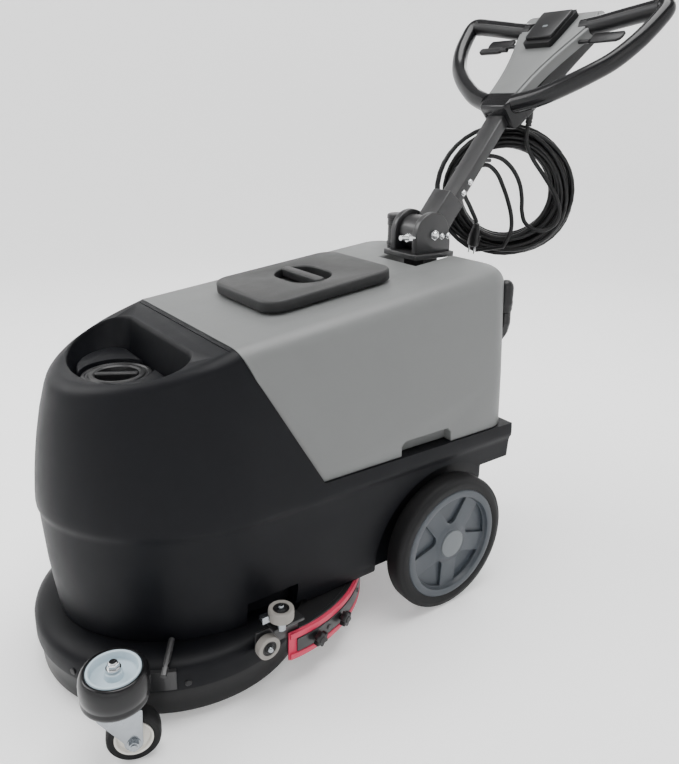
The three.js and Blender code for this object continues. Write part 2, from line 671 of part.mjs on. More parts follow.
function hinge() {
  const cheek = (from, to) => joined(
    disc(42, from, to, 20, "x").translate([0, PIVOT.y, PIVOT.z]),
    box(from, to, PIVOT.y - 42, PIVOT.y + 46, 620, PIVOT.z),
  );
  const base = joined(
    box(-46, 46, 122, 222, 611.5, 622), cheek(24, 38), cheek(-38, -24),
  );
  const bore = disc(7.4, -60, 60, 18, "x").translate([0, PIVOT.y, PIVOT.z]);
  part("pivot_bolt", joined(
    disc(7, -48, 48, 16, "x"), disc(12, 38.3, 45, 6, "x"), disc(12, -45, -38.3, 6, "x"),
  ).translate([0, PIVOT.y, PIVOT.z]), zinc);
  const lockBolts = [20, 36].map((step) =>
    joined(disc(5, 30, 50, 12, "x"), disc(7.5, 37, 46, 6, "x")).translate([0, PIVOT.y + step, 652]));
  const adjuster = bar([31, 136, 652], [31, 96, 655], 5, 12);
  part("hinge_base", joined(base.subtract(bore), adjuster, ...lockBolts), blackPaint);
  const { half, top, under, foot, length } = COLUMN;
  const boss = disc(33, -23.6, 23.6, 20, "x").translate([0, PIVOT.y, PIVOT.z]);
  const collar = columnBlock(4, 96, under - 5, 8, 23.6);
  const bore2 = disc(7.4, -60, 60, 18, "x").translate([0, PIVOT.y, PIVOT.z]);
  const socket = columnBlock(foot, 120, under - GAP, top + GAP, half + GAP);
  const clear = box(-60, 60, 60, 260, 600, 622.4);
  part("column_clevis", cut(joined(boss, collar), bore2, socket, clear), blackPaint);
  const eye = bar([12, 318, 789], [12, 343, 789], 4, 10);
  part("column_tube", joined(columnBlock(foot + GAP, length, under, top, half), eye), blackPaint);
}

// A point given along the head's slope and out from it, measured from the head's low front.
const HEAD_FOOT = [352, 884];
const HEAD = { foot: 39, end: 281.03, deep: 52, lowHalf: 36, highHalf: 68 };
const CORD_EXIT = [32, 426, 856]; // where the cord leaves its strain relief
function onHead(along, out) {
  const y = HEAD_FOOT[0] + along * Math.cos(HEAD_SLOPE) - out * Math.sin(HEAD_SLOPE);
  const z = HEAD_FOOT[1] + along * Math.sin(HEAD_SLOPE) + out * Math.cos(HEAD_SLOPE);
  return [y, z];
}

// A body made with Y up the head's slope and Z out from it, put in place.
function onHeadPlane(body) {
  return body.rotate([THREE.MathUtils.radToDeg(HEAD_SLOPE), 0, 0])
    .translate([0, HEAD_FOOT[0], HEAD_FOOT[1]]);
}

// A slab on the head's slope, with half widths at its lower and upper ends.
function headSlab(from, to, low, high, halfLow, halfHigh) {
  const shape = new THREE.Shape();
  shape.moveTo(-halfLow, from);
  shape.lineTo(halfLow, from);
  shape.lineTo(halfHigh, to);
  shape.lineTo(-halfHigh, to);
  shape.closePath();
  const geometry = new THREE.ExtrudeGeometry(shape, { depth: high - low, bevelEnabled: false });
  geometry.translate(0, 0, low).rotateX(HEAD_SLOPE);
  return solid(geometry.translate(0, HEAD_FOOT[0], HEAD_FOOT[1]));
}

function handleLoop(side, radius) {
  const points = [
    [34, 376, 898], [82, 389, 911], [122, 405, 929], [160, 424, 950], [195, 448, 975],
    [222, 478, 1010], [236, 510, 1046], [238, 528, 1066], [226, 533, 1071], [190, 532, 1066],
    [150, 531, 1060], [98, 530, 1052], [62, 529, 1048],
  ].map(([x, y, z]) => [side * x, y, z]);
  return tube(points, radius, 8, 26);
}

// A switch body, made with Z out of the head's upper end, put in its place there.
function switchPlace(body, side) {
  const [y, z] = onHead(HEAD.end, -34);
  return body.rotate([THREE.MathUtils.radToDeg(HEAD_SLOPE) - 90, 0, 0])
    .translate([side * 20, y, z]);
}

function head() {
  const { foot, end, deep, lowHalf, highHalf } = HEAD;
  const nose = headSlab(0, foot, -deep, 8, lowHalf, lowHalf + 2);
  const housing = headSlab(foot - 4, end, -deep, -16.3, lowHalf + 2, highHalf);
  const room = columnBlock(
    0, COLUMN.length + GAP, COLUMN.under - GAP, COLUMN.top + GAP, COLUMN.half + GAP,
  );
  const relief = turned([[0, -4], [8, -4], [8, 6], [6, 26], [0, 26]], 12)
    .rotate([180, 0, 0]).translate([CORD_EXIT[0], CORD_EXIT[1], CORD_EXIT[2] + 26]);
  const start = disc(6, CORD_EXIT[2] - 20, CORD_EXIT[2], 8)
    .translate([CORD_EXIT[0], CORD_EXIT[1], 0]);
  const pockets = [-1, 1].map((side) => switchPlace(box(-13, 13, -9, 9, -7, 12), side));
  const shell = cut(joined(nose, housing, relief), room, start, ...pockets);
  part("head_shell", shell, blackPlastic);
  const loop = handleLoop(1, TUBE).subtract(joined(
    headSlab(-60, 340, -120, 80, 26.6, 76), headSlab(-10, foot + 1, -120, 80, 36.3, 38.6),
    box(-60, 20, 300, 700, 800, 1200),
  ));
  part("handle_bar_left", loop, blackPlastic);
  part("handle_bar_right", loop.mirror([1, 0, 0]), blackPlastic);
  const loopRoom = joined(handleLoop(1, TUBE + 0.6), handleLoop(-1, TUBE + 0.6));
  part("head_cover", headSlab(foot + GAP, 267, -16, 9, 41, 86).subtract(loopRoom), greyShell);
  part("control_panel", headSlab(172, 264, 9.3, 28, 30, 37), blackPlastic);
}

function controls() {
  for (const side of [-1, 1]) {
    const where = side > 0 ? "left" : "right";
    const stub = bar([77, 200, -3.5], [90, 200, -3.5], 5, 8);
    const paddle = onHeadPlane(joined(box(88, 168, 196, 226, -7, 0), stub));
    part(`trigger_${where}`, side > 0 ? paddle : paddle.mirror([1, 0, 0]), blackPlastic);
    const rocker = box(-12, 12, -8, 8, -4, 5);
    part(side > 0 ? "brush_switch" : "vacuum_switch", switchPlace(rocker, side), blackPlastic);
  }
  const pin = bar([-62, 155, 22], [-80, 155, 22], 5, 8);
  const lever = onHeadPlane(joined(box(-136, -76, 148, 162, 18, 26), pin));
  part("release_lever", lever, blackPlastic);
}

// ---------------------------------------------------------------- cord

// Where the cord runs between its strain relief and the coil.
const LEAD = [
  [30.5, 425, 843], [31, 427, 822], [42, 437, 792], [63, 453, 757], [82, 470, 720],
  [91, 477, 686], [84, 472, 659], [62, 454, 646], [40, 436, 659], [32, 430, 684],
  [31, 427, 712], [31, 416, 742], [27, 398, 769], [20, 377, 788], [12, 359, 796],
  [0, 343, 797], [-15, 333, 793], [-33, 329, 785], [-60, 336, 774], [-84, 346, 765],
  [-104, 360, 758],
];
// Where its tail leaves the coil and hangs from the hook, down to the plug.
const TAIL_RUN = [
  [-9, 424, 588], [2, 410, 602], [13, 412, 622], [20, 415, 648], [20, 411, 676], [17, 401, 705],
  [12, 388, 735], [8, 371, 762], [3, 346, 779], [-4, 319, 773], [-12, 304, 750],
  [-19, 308, 722], [-24, 332, 694], [-22, 350, 666],
];
const PLUG_TOP = [-21.6, 352.5, 660];

function coilRing(grow) {
  const inner = COIL.inner - grow;
  const outer = COIL.outer + grow;
  const half = COIL.half + grow;
  const profile = [
    [inner, -half + 8], [inner + 10, -half], [outer - 10, -half], [outer, -half + 8],
    [outer, half - 8], [outer - 10, half], [inner + 10, half], [inner, half - 8],
    [inner, -half + 8],
  ];
  return turned(profile, 24)
    .rotate([90, 0, THREE.MathUtils.radToDeg(COIL.turn)]).translate([COIL.x, COIL.y, COIL.z]);
}

// A moulded plug with two flat pins, hanging along the tail's last stretch.
function plug() {
  const [x, y, z] = PLUG_TOP;
  const shape = turned([
    [0, -52], [15, -52], [16.5, -44], [16.5, -24], [12, -14], [8, -10], [6.5, 0], [0, 0],
  ], 14);
  const body = shape.scale([1, 0.75, 1]);
  const pins = [-6, 6].map((side) => box(side - 1, side + 1, -3, 3, -72, -50));
  const whole = joined(body, ...pins).rotate([16, 12, 24]);
  part("cord_plug", whole.translate([x + 0.3, y + 0.9, z - 2.2]), blackPlastic);
}

function cord() {
  part("cord_coil", coilRing(0), blackRubber);
  const start = [CORD_EXIT[0] - 0.2, CORD_EXIT[1] - 0.1, CORD_EXIT[2] - GAP - 0.4];
  const lead = tube([start, ...LEAD], CORD_RADIUS, 8, 42);
  const tail = tube([...TAIL_RUN, PLUG_TOP], CORD_RADIUS, 8, 22);
  part("cord_lead", lead.subtract(coilRing(GAP)), blackRubber);
  part("cord_tail", tail.subtract(coilRing(GAP)), blackRubber);
  plug();
}

solutionTank();
fillerCap();
recoveryTank();
lid();
rearNeck();
drain();
chassis();
deck();
rearWheel(1);
rearWheel(-1);
bumper();
caster();
squeegee();
hinge();
head();
controls();
cord();

export default machine;
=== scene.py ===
import math
import random

import bmesh
import bpy
from mathutils import Matrix, Vector


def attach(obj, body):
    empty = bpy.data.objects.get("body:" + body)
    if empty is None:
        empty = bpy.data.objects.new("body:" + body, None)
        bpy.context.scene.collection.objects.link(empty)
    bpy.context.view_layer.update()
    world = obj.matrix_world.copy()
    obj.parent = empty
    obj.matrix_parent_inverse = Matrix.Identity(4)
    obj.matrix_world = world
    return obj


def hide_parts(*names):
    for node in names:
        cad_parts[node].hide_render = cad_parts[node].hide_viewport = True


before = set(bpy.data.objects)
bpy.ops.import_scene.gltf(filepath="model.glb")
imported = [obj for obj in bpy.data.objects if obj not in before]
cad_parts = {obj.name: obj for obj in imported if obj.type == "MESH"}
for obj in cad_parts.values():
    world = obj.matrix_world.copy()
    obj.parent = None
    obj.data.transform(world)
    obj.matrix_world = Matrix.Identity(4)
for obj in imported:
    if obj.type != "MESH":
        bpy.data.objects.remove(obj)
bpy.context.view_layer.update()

bl_info = {
    "name": "Floor scrubber",
    "version": (1, 0, 0),
    "blender": (4, 5, 0),
    "location": "View3D > Sidebar > Scrubber",
    "description": "Builds a walk-behind floor scrubber around its packed frame",
    "category": "Object",
}

MM = 0.001

BRUSH_AT = (0, -360, 0)
FILLER_AT = (0, -438, 0)
DECK_CLEARANCE = 231.6

# ---------------------------------------------------------------- sizes and colours


def length(name, description, default):
    """A length in millimetres that the sidebar shows."""
    return bpy.props.FloatProperty(name=name, description=description, default=default)


def colour(name, description, default):
    """A colour without alpha, in linear values."""
    return bpy.props.FloatVectorProperty(
        name=name, description=description, default=default, subtype="COLOR", size=3,
        min=0.0, max=1.0,
    )


class ScrubberSizes(bpy.types.PropertyGroup):
    """Sizes that can be changed without moving a joint, in millimetres."""

    nose_shoulder: length("Nose shoulder", "Rounding of the nose's top edge, mm", 17.0)
    tank_crease: length("Tank crease", "Rounding of the recovery tank's top edge, mm", 34.0)
    cord_diameter: length("Cord diameter", "Outside diameter of the cord, mm", 9.0)
    coil_layers: bpy.props.IntProperty(
        name="Coil layers", description="Layers of cord through the coil's thickness", default=4,
    )
    coil_lanes: bpy.props.IntProperty(
        name="Coil lanes", description="Turns of cord side by side in each layer", default=5,
    )


class ScrubberColours(bpy.types.PropertyGroup):
    """Colours of the mouldings, rubber and metal."""

    shell: colour("Tank black", "Nose tank and deck", (0.0032, 0.0035, 0.0048))
    grey: colour("Tank grey", "Recovery tank and head cover", (0.122, 0.126, 0.125))
    lid: colour("Lid grey", "Recovery lid", (0.011, 0.0114, 0.012))
    plastic: colour("Black plastic", "Head, handles and knobs", (0.0055, 0.0055, 0.0062))
    rubber: colour("Black rubber", "Tyres, skirt and cord", (0.0065, 0.0065, 0.0070))
    rim: colour("Rim grey", "Rear wheel rims", (0.03, 0.037, 0.046))
    hub: colour("Hub cap grey", "Rear wheel hub caps", (0.10, 0.112, 0.12))
    core: colour("Pale blue", "Core of the bumper roller", (0.46, 0.56, 0.62))
    roller: colour("Roller grey", "Side rollers of the squeegee", (0.208, 0.196, 0.18))
    blade: colour("Blade red", "Rear squeegee blade", (0.48, 0.024, 0.068))
    brush: colour("Brush block", "Drive plate of the brush", (0.42, 0.28, 0.06))
    hub_blue: colour("Coupling blue", "Brush coupling and squeegee port", (0.02, 0.045, 0.40))


# ---------------------------------------------------------------- materials

MATERIALS = {}


def new_group(name, inputs, outputs):
    """An empty node group with its sockets. Gives the tree and its two end nodes."""
    tree = bpy.data.node_groups.new(name, "ShaderNodeTree")
    for label, kind, value in inputs:
        socket = tree.interface.new_socket(name=label, in_out="INPUT", socket_type=kind)
        socket.default_value = value
    for label, kind in outputs:
        tree.interface.new_socket(name=label, in_out="OUTPUT", socket_type=kind)
    return tree, tree.nodes.new("NodeGroupInput"), tree.nodes.new("NodeGroupOutput")


def math_node(tree, operation, first, second):
    """A Math node whose two values are numbers or sockets."""
    node = tree.nodes.new("ShaderNodeMath")
    node.operation = operation
    for socket, value in zip(node.inputs, (first, second)):
        if isinstance(value, (int, float)):
            socket.default_value = value
        else:
            tree.links.new(value, socket)
    return node.outputs[0]


def noise(tree, where, scale, detail=2.0, roughness=0.5):
    """A noise texture's value on object coordinates."""
    node = tree.nodes.new("ShaderNodeTexNoise")
    node.inputs["Detail"].default_value = detail
    node.inputs["Roughness"].default_value = roughness
    tree.links.new(where, node.inputs["Vector"])
    if isinstance(scale, (int, float)):
        node.inputs["Scale"].default_value = scale
    else:
        tree.links.new(scale, node.inputs["Scale"])
    return node.outputs["Fac"]


def value_shift(tree, colour_socket, value):
    """The colour with its brightness multiplied by a value."""
    node = tree.nodes.new("ShaderNodeHueSaturation")
    tree.links.new(colour_socket, node.inputs["Color"])
    tree.links.new(value, node.inputs["Value"])
    return node.outputs["Color"]


def moulded_skin():
    """Mottled colour, uneven gloss and a fine grain, for mouldings, rubber and paint."""
    tree, given, out = new_group(
        "moulded_skin",
        [
            ("Colour", "NodeSocketColor", (0.5, 0.5, 0.5, 1.0)),
            ("Roughness", "NodeSocketFloat", 0.5),
            ("Grain size", "NodeSocketFloat", 1.2),
            ("Mottle", "NodeSocketFloat", 0.2),
            ("Gloss spread", "NodeSocketFloat", 0.15),
        ],
        [("Colour", "NodeSocketColor"), ("Roughness", "NodeSocketFloat"),
         ("Height", "NodeSocketFloat")],
    )
    where = tree.nodes.new("ShaderNodeTexCoord").outputs["Object"]
    fine = noise(tree, where, math_node(tree, "DIVIDE", 1000.0, given.outputs["Grain size"]), 3.0)
    broad = noise(tree, where, 11.0, 4.0, 0.6)
    patchy = noise(tree, where, 42.0, 3.0, 0.6)
    mixed = math_node(tree, "ADD", math_node(tree, "SUBTRACT", broad, 0.5),
                      math_node(tree, "MULTIPLY", math_node(tree, "SUBTRACT", patchy, 0.5), 0.5))
    shift = math_node(tree, "ADD", 1.0, math_node(tree, "MULTIPLY", mixed, given.outputs["Mottle"]))
    tree.links.new(value_shift(tree, given.outputs["Colour"], shift), out.inputs["Colour"])
    gloss = math_node(tree, "MULTIPLY", mixed, given.outputs["Gloss spread"])
    tree.links.new(math_node(tree, "ADD", given.outputs["Roughness"], gloss), out.inputs["Roughness"])
    tree.links.new(fine, out.inputs["Height"])
    return tree


def settled_dust():
    """A pale film on upward faces, in patches."""
    tree, given, out = new_group(
        "settled_dust",
        [
            ("Colour", "NodeSocketColor", (0.5, 0.5, 0.5, 1.0)),
            ("Dust", "NodeSocketColor", (0.45, 0.43, 0.40, 1.0)),
            ("Amount", "NodeSocketFloat", 0.1),
        ],
        [("Colour", "NodeSocketColor")],
    )
    where = tree.nodes.new("ShaderNodeTexCoord").outputs["Object"]
    patches = noise(tree, where, 26.0, 5.0, 0.65)
    split = tree.nodes.new("ShaderNodeSeparateXYZ")
    tree.links.new(tree.nodes.new("ShaderNodeNewGeometry").outputs["Normal"], split.inputs[0])
    upward = math_node(tree, "MAXIMUM", split.outputs["Z"], 0.12)
    spread = math_node(tree, "MULTIPLY", math_node(tree, "MULTIPLY", patches, upward),
                       given.outputs["Amount"])
    mix = tree.nodes.new("ShaderNodeMix")
    mix.data_type = "RGBA"
    tree.links.new(spread, mix.inputs[0])
    tree.links.new(given.outputs["Colour"], mix.inputs[6])
    tree.links.new(given.outputs["Dust"], mix.inputs[7])
    tree.links.new(mix.outputs[2], out.inputs["Colour"])
    return tree


def drawn_metal():
    """Fine streaks along X with cloudy gloss, for plated and drawn metal."""
    tree, given, out = new_group(
        "drawn_metal",
        [
            ("Colour", "NodeSocketColor", (0.6, 0.6, 0.6, 1.0)),
            ("Roughness", "NodeSocketFloat", 0.3),
        ],
        [("Colour", "NodeSocketColor"), ("Roughness", "NodeSocketFloat"),
         ("Height", "NodeSocketFloat")],
    )
    where = tree.nodes.new("ShaderNodeTexCoord").outputs["Object"]
    stretch = tree.nodes.new("ShaderNodeMapping")
    stretch.inputs["Scale"].default_value = (30.0, 900.0, 900.0)
    tree.links.new(where, stretch.inputs["Vector"])
    streaks = noise(tree, stretch.outputs["Vector"], 1.0, 2.0)
    clouds = noise(tree, where, 70.0, 4.0, 0.6)
    shift = math_node(tree, "ADD", 0.85, math_node(tree, "MULTIPLY", clouds, 0.3))
    tree.links.new(value_shift(tree, given.outputs["Colour"], shift), out.inputs["Colour"])
    rough = math_node(tree, "ADD", given.outputs["Roughness"],
                      math_node(tree, "MULTIPLY", math_node(tree, "SUBTRACT", clouds, 0.5), 0.35))
    tree.links.new(rough, out.inputs["Roughness"])
    tree.links.new(streaks, out.inputs["Height"])
    return tree


def effect(name):
    """The node group of that name, made once."""
    makers = {"moulded_skin": moulded_skin, "settled_dust": settled_dust, "drawn_metal": drawn_metal}
    return bpy.data.node_groups.get(name) or makers[name]()


def start_material(name):
    """A material with a Principled shader and a Bump node feeding its normal."""
    material = bpy.data.materials.new(name)
    material.use_nodes = True
    tree = material.node_tree
    shader = tree.nodes["Principled BSDF"]
    bump = tree.nodes.new("ShaderNodeBump")
    tree.links.new(bump.outputs["Normal"], shader.inputs["Normal"])
    MATERIALS[name] = material
    return tree, shader, bump


def put_group(tree, name, values):
    """A copy of an effect in a material, with its own values."""
    node = tree.nodes.new("ShaderNodeGroup")
    node.node_tree = effect(name)
    for label, value in values.items():
        node.inputs[label].default_value = value
    return node


def moulding(name, base, rough, grain=1.2, depth=0.05, mottle=0.25, dust=0.02, spread=0.2, coat=0.0,
             specular=0.4):
    """Plastic, rubber or paint with its grain and a trace of dust."""
    tree, shader, bump = start_material(name)
    skin = put_group(tree, "moulded_skin", {
        "Colour": (*base, 1.0), "Roughness": rough, "Grain size": grain, "Mottle": mottle,
        "Gloss spread": spread,
    })
    film = put_group(tree, "settled_dust", {"Amount": dust})
    tree.links.new(skin.outputs["Colour"], film.inputs["Colour"])
    tree.links.new(film.outputs["Colour"], shader.inputs["Base Color"])
    tree.links.new(skin.outputs["Roughness"], shader.inputs["Roughness"])
    tree.links.new(skin.outputs["Height"], bump.inputs["Height"])
    bump.inputs["Strength"].default_value = 1.0
    bump.inputs["Distance"].default_value = depth * MM
    shader.inputs["Coat Weight"].default_value = coat
    shader.inputs["Specular IOR Level"].default_value = specular
    return MATERIALS[name]


def metal(name, base, rough, depth=0.01):
    """Plated or bare metal with fine drawn streaks."""
    tree, shader, bump = start_material(name)
    drawn = put_group(tree, "drawn_metal", {"Colour": (*base, 1.0), "Roughness": rough})
    tree.links.new(drawn.outputs["Colour"], shader.inputs["Base Color"])
    tree.links.new(drawn.outputs["Roughness"], shader.inputs["Roughness"])
    tree.links.new(drawn.outputs["Height"], bump.inputs["Height"])
    bump.inputs["Distance"].default_value = depth * MM
    shader.inputs["Metallic"].default_value = 1.0
    return MATERIALS[name]


def make_materials(paint):
    """Every finish on the machine."""
    moulding("shell_black", paint.shell, 0.44, grain=1.6, depth=0.10, mottle=0.3, dust=0.005, specular=0.12)
    moulding("shell_grey", paint.grey, 0.46, grain=1.5, depth=0.07, mottle=0.10, dust=0.02)
    moulding("lid_grey", paint.lid, 0.5, grain=0.9, depth=0.06, mottle=0.15, dust=0.04)
    moulding("black_plastic", paint.plastic, 0.36, grain=0.8, depth=0.03, mottle=0.2, dust=0.01, specular=0.3)
    moulding("soft_grip", paint.plastic, 0.4, grain=0.6, depth=0.05, mottle=0.2, dust=0.01, specular=0.28)
    moulding("black_rubber", paint.rubber, 0.6, grain=0.9, depth=0.06, mottle=0.3, dust=0.05)
    moulding("tyre_rubber", paint.rubber, 0.56, grain=1.1, depth=0.06, mottle=0.35, dust=0.01, specular=0.16)
    moulding("skirt_rubber", paint.rubber, 0.34, grain=1.4, depth=0.03, mottle=0.25, dust=0.01, specular=0.22)
    moulding("gloss_black", paint.plastic, 0.2, grain=1.4, depth=0.01, mottle=0.2, dust=0.005, specular=0.3)
    moulding("cord_sheath", paint.rubber, 0.42, grain=2.0, depth=0.03, mottle=0.2, dust=0.01, specular=0.25)
    moulding("black_paint", (0.011, 0.011, 0.012), 0.36, grain=0.7, depth=0.02, coat=0.25)
    moulding("rim_grey", paint.rim, 0.4, grain=0.8, depth=0.02, mottle=0.12, dust=0.06)
    moulding("hub_grey", paint.hub, 0.4, grain=0.8, depth=0.02, mottle=0.1, dust=0.04)
    moulding("core_blue", paint.core, 0.32, grain=0.8, depth=0.01, mottle=0.08, dust=0.02, coat=0.2)
    moulding("roller_grey", paint.roller, 0.55, grain=0.7, depth=0.04, mottle=0.25, dust=0.08)
    moulding("blade_red", paint.blade, 0.42, grain=1.0, depth=0.02, mottle=0.12, dust=0.02)
    moulding("brush_resin", paint.brush, 0.5, grain=1.2, depth=0.04, mottle=0.25, dust=0.03)
    moulding("coupling_blue", paint.hub_blue, 0.35, grain=0.8, depth=0.02, mottle=0.1)
    moulding("bristle_black", paint.rubber, 0.45, grain=0.5, depth=0.02, mottle=0.4)
    moulding("cage_white", (0.62, 0.60, 0.55), 0.4, grain=0.8, depth=0.02, mottle=0.1)
    metal("zinc", (0.30, 0.32, 0.34), 0.24)
    metal("bright_steel", (0.70, 0.71, 0.72), 0.2)


# ---------------------------------------------------------------- shaping helpers


def turned(profile, steps=64, axis="Z", at=(0, 0, 0)):
    """A turned form. The profile lists (radius, distance along the axis)."""
    bm = bmesh.new()
    verts = [bm.verts.new((r, 0, h)) for r, h in profile]
    edges = [bm.edges.new(pair) for pair in zip(verts, verts[1:])]
    if min(profile[0][0], profile[-1][0]) > 0.01:
        edges.append(bm.edges.new((verts[-1], verts[0])))
    bmesh.ops.spin(
        bm, geom=verts + edges, cent=(0, 0, 0), axis=(0, 0, 1), angle=math.tau, steps=steps,
        use_merge=True, use_duplicate=False,
    )
    bmesh.ops.remove_doubles(bm, verts=bm.verts, dist=0.001)
    if axis == "X":
        turn(bm, 90, "Y")
    return tidy(shift(bm, at))


def tidy(bm):
    """Faces pointing outwards."""
    bmesh.ops.recalc_face_normals(bm, faces=bm.faces)
    return bm


def shift(bm, by):
    bmesh.ops.translate(bm, vec=by, verts=bm.verts)
    return bm


def turn(bm, degrees, axis, about=(0, 0, 0)):
    bmesh.ops.rotate(
        bm, cent=about, matrix=Matrix.Rotation(math.radians(degrees), 3, axis), verts=bm.verts,
    )
    return bm


def flipped(bm):
    """The form on the machine's other side."""
    bmesh.ops.scale(bm, vec=(-1, 1, 1), verts=bm.verts)
    return tidy(bm)


def slab(outline, low, high, top_scale=1.0):
    """A flat outline in (x, y), raised from one height to another."""
    bm = bmesh.new()
    face = bm.faces.new([bm.verts.new((x, y, low)) for x, y in outline])
    raised = bmesh.ops.extrude_face_region(bm, geom=[face])["geom"]
    top = [g for g in raised if isinstance(g, bmesh.types.BMVert)]
    bmesh.ops.translate(bm, vec=(0, 0, high - low), verts=top)
    if top_scale != 1.0:
        middle = sum((v.co for v in top), Vector()) / len(top)
        bmesh.ops.scale(
            bm, vec=(top_scale, top_scale, 1), verts=top, space=Matrix.Translation(-middle),
        )
    return tidy(bm)


def side_slab(outline, x0, x1):
    """A side view outline in (y, z), made as wide as from x0 to x1."""
    bm = slab(outline, x0, x1)
    bmesh.ops.rotate(bm, cent=(0, 0, 0), matrix=Matrix(((0, 0, 1), (1, 0, 0), (0, 1, 0))),
                     verts=bm.verts)
    return tidy(bm)


def block(x0, x1, y0, y1, z0, z1):
    """A box between two corners."""
    return slab([(x0, y0), (x1, y0), (x1, y1), (x0, y1)], z0, z1)


def rod(start, end, radius, sides=24, tip=None):
    """A round bar from one point to another, or a taper if the tip's radius is given."""
    a, b = Vector(start), Vector(end)
    place = Matrix.Translation((a + b) / 2) @ (b - a).to_track_quat("Z", "Y").to_matrix().to_4x4()
    bm = bmesh.new()
    bmesh.ops.create_cone(
        bm, cap_ends=True, segments=sides, radius1=radius, radius2=radius if tip is None else tip,
        depth=(b - a).length, matrix=place,
    )
    return tidy(bm)


def rounded_outline(x0, x1, y0, y1, radius, steps=8):
    """A rectangle with round corners, as points."""
    points = []
    for i, (x, y) in enumerate([(x1, y1), (x0, y1), (x0, y0), (x1, y0)]):
        cx = x - radius if x == x1 else x + radius
        cy = y - radius if y == y1 else y + radius
        for k in range(steps + 1):
            angle = math.pi / 2 * (i + k / steps)
            points.append((cx + radius * math.cos(angle), cy + radius * math.sin(angle)))
    return points


def soften(bm, width, where=lambda middle: True, segments=3, angle=32):
    """Bevels the sharp edges whose middle passes the test."""
    sharp = [
        e for e in bm.edges
        if len(e.link_faces) == 2 and e.calc_face_angle(0) > math.radians(angle)
        and where((e.verts[0].co + e.verts[1].co) / 2)
    ]
    bmesh.ops.bevel(
        bm, geom=sharp, offset=width, affect="EDGES", segments=segments, profile=0.5,
        material=-1, clamp_overlap=True,
    )
    return bm


def joined(*parts):
    """Several forms as one mesh of separate shells."""
    whole = bmesh.new()
    for bm in parts:
        mesh = bpy.data.meshes.new("part")
        bm.to_mesh(mesh)
        whole.from_mesh(mesh)
        bpy.data.meshes.remove(mesh)
        bm.free()
    return whole


def scratch_object(bm):
    mesh = bpy.data.meshes.new("scratch")
    bm.to_mesh(mesh)
    bm.free()
    obj = bpy.data.objects.new("scratch", mesh)
    bpy.context.scene.collection.objects.link(obj)
    return obj


def stacked(rings):
    """A solid through rings of points, one above another, each with as many points."""
    bm = bmesh.new()
    face = bm.faces.new([bm.verts.new(p) for p in rings[0]])
    for number, ring in enumerate(rings[1:]):
        old = face
        made = bmesh.ops.extrude_face_region(bm, geom=[face])["geom"]
        face = next(g for g in made if isinstance(g, bmesh.types.BMFace))
        if number:
            bmesh.ops.delete(bm, geom=[old], context="FACES_ONLY")
        for vert, p in zip(face.verts, ring):
            vert.co = p
    return tidy(bm)


def carved(body, tools, keep=()):
    """The body without the tools, and only where it lies inside each of keep."""
    target = scratch_object(body)
    others = [(scratch_object(t), "DIFFERENCE") for t in tools]
    others += [(scratch_object(t), "INTERSECT") for t in keep]
    for other, how in others:
        cut = target.modifiers.new("cut", "BOOLEAN")
        cut.object = other
        cut.operation = how
        cut.solver = "EXACT"
    graph = bpy.context.evaluated_depsgraph_get()
    result = bmesh.new()
    result.from_object(target, graph)
    for obj in [target] + [o for o, _ in others]:
        mesh = obj.data
        bpy.data.objects.remove(obj)
        bpy.data.meshes.remove(mesh)
    bmesh.ops.remove_doubles(result, verts=result.verts, dist=0.002)
    bmesh.ops.dissolve_degenerate(result, edges=result.edges, dist=0.001)
    return result


def piece(name, bm, material, body, nodes=(), smooth=34, bevel=0.0):
    """Turns a form made in millimetres into a finished piece that rides on a body."""
    bmesh.ops.scale(bm, vec=(MM, MM, MM), verts=bm.verts)
    mesh = bpy.data.meshes.new(name)
    bm.to_mesh(mesh)
    bm.free()
    mesh.shade_smooth()
    mesh.set_sharp_from_angle(angle=math.radians(smooth))
    mesh.materials.append(MATERIALS[material])
    obj = bpy.data.objects.new(name, mesh)
    bpy.context.scene.collection.objects.link(obj)
    if bevel:
        edge = obj.modifiers.new("soft_edges", "BEVEL")
        edge.width = bevel * MM
        edge.segments = 3
        edge.limit_method = "ANGLE"
        edge.angle_limit = math.radians(smooth)
        edge.harden_normals = True
    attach(obj, body)
    if nodes:
        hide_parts(*nodes)
    return obj


def smooth_path(points, step):
    """A Catmull-Rom line through the points, sampled about every step."""
    points = [Vector(p) for p in points]
    ends = [points[0] * 2 - points[1], *points, points[-1] * 2 - points[-2]]
    line = []
    for a, b, c, d in zip(ends, ends[1:], ends[2:], ends[3:]):
        count = max(1, round((c - b).length / step))
        for i in range(count):
            t = i / count
            line.append(0.5 * (
                2 * b + (c - a) * t + (2 * a - 5 * b + 4 * c - d) * t * t
                + (3 * b - a - 3 * c + d) * t ** 3
            ))
    return [*line, points[-1]]


def frames_along(line):
    """A place and two side directions for each point of a line, without twist."""
    side = (line[1] - line[0]).orthogonal().normalized()
    for i, p in enumerate(line):
        ahead = (line[min(i + 1, len(line) - 1)] - line[max(i - 1, 0)]).normalized()
        side = (side - ahead * side.dot(ahead)).normalized()
        yield p, side, ahead.cross(side)


def swept(points, radius, step=6, sides=20):
    """A round bar along a smooth line. The radius may be a function of how far along it is."""
    line = smooth_path(points, step)
    bm = bmesh.new()
    before = []
    for i, (p, side, other) in enumerate(frames_along(line)):
        r = radius(i / (len(line) - 1)) if callable(radius) else radius
        place = Matrix.Translation(p) @ Matrix((side, other, side.cross(other))).transposed().to_4x4()
        end = i in (0, len(line) - 1)
        ring = set(bmesh.ops.create_circle(
            bm, cap_ends=end, segments=sides, radius=r, matrix=place)["verts"])
        edges = list({e for v in ring for e in v.link_edges if e.other_vert(v) in ring})
        if before:
            bmesh.ops.bridge_loops(bm, edges=before + edges)
        before = edges
    return tidy(bm)


# ---------------------------------------------------------------- the machine's own frames

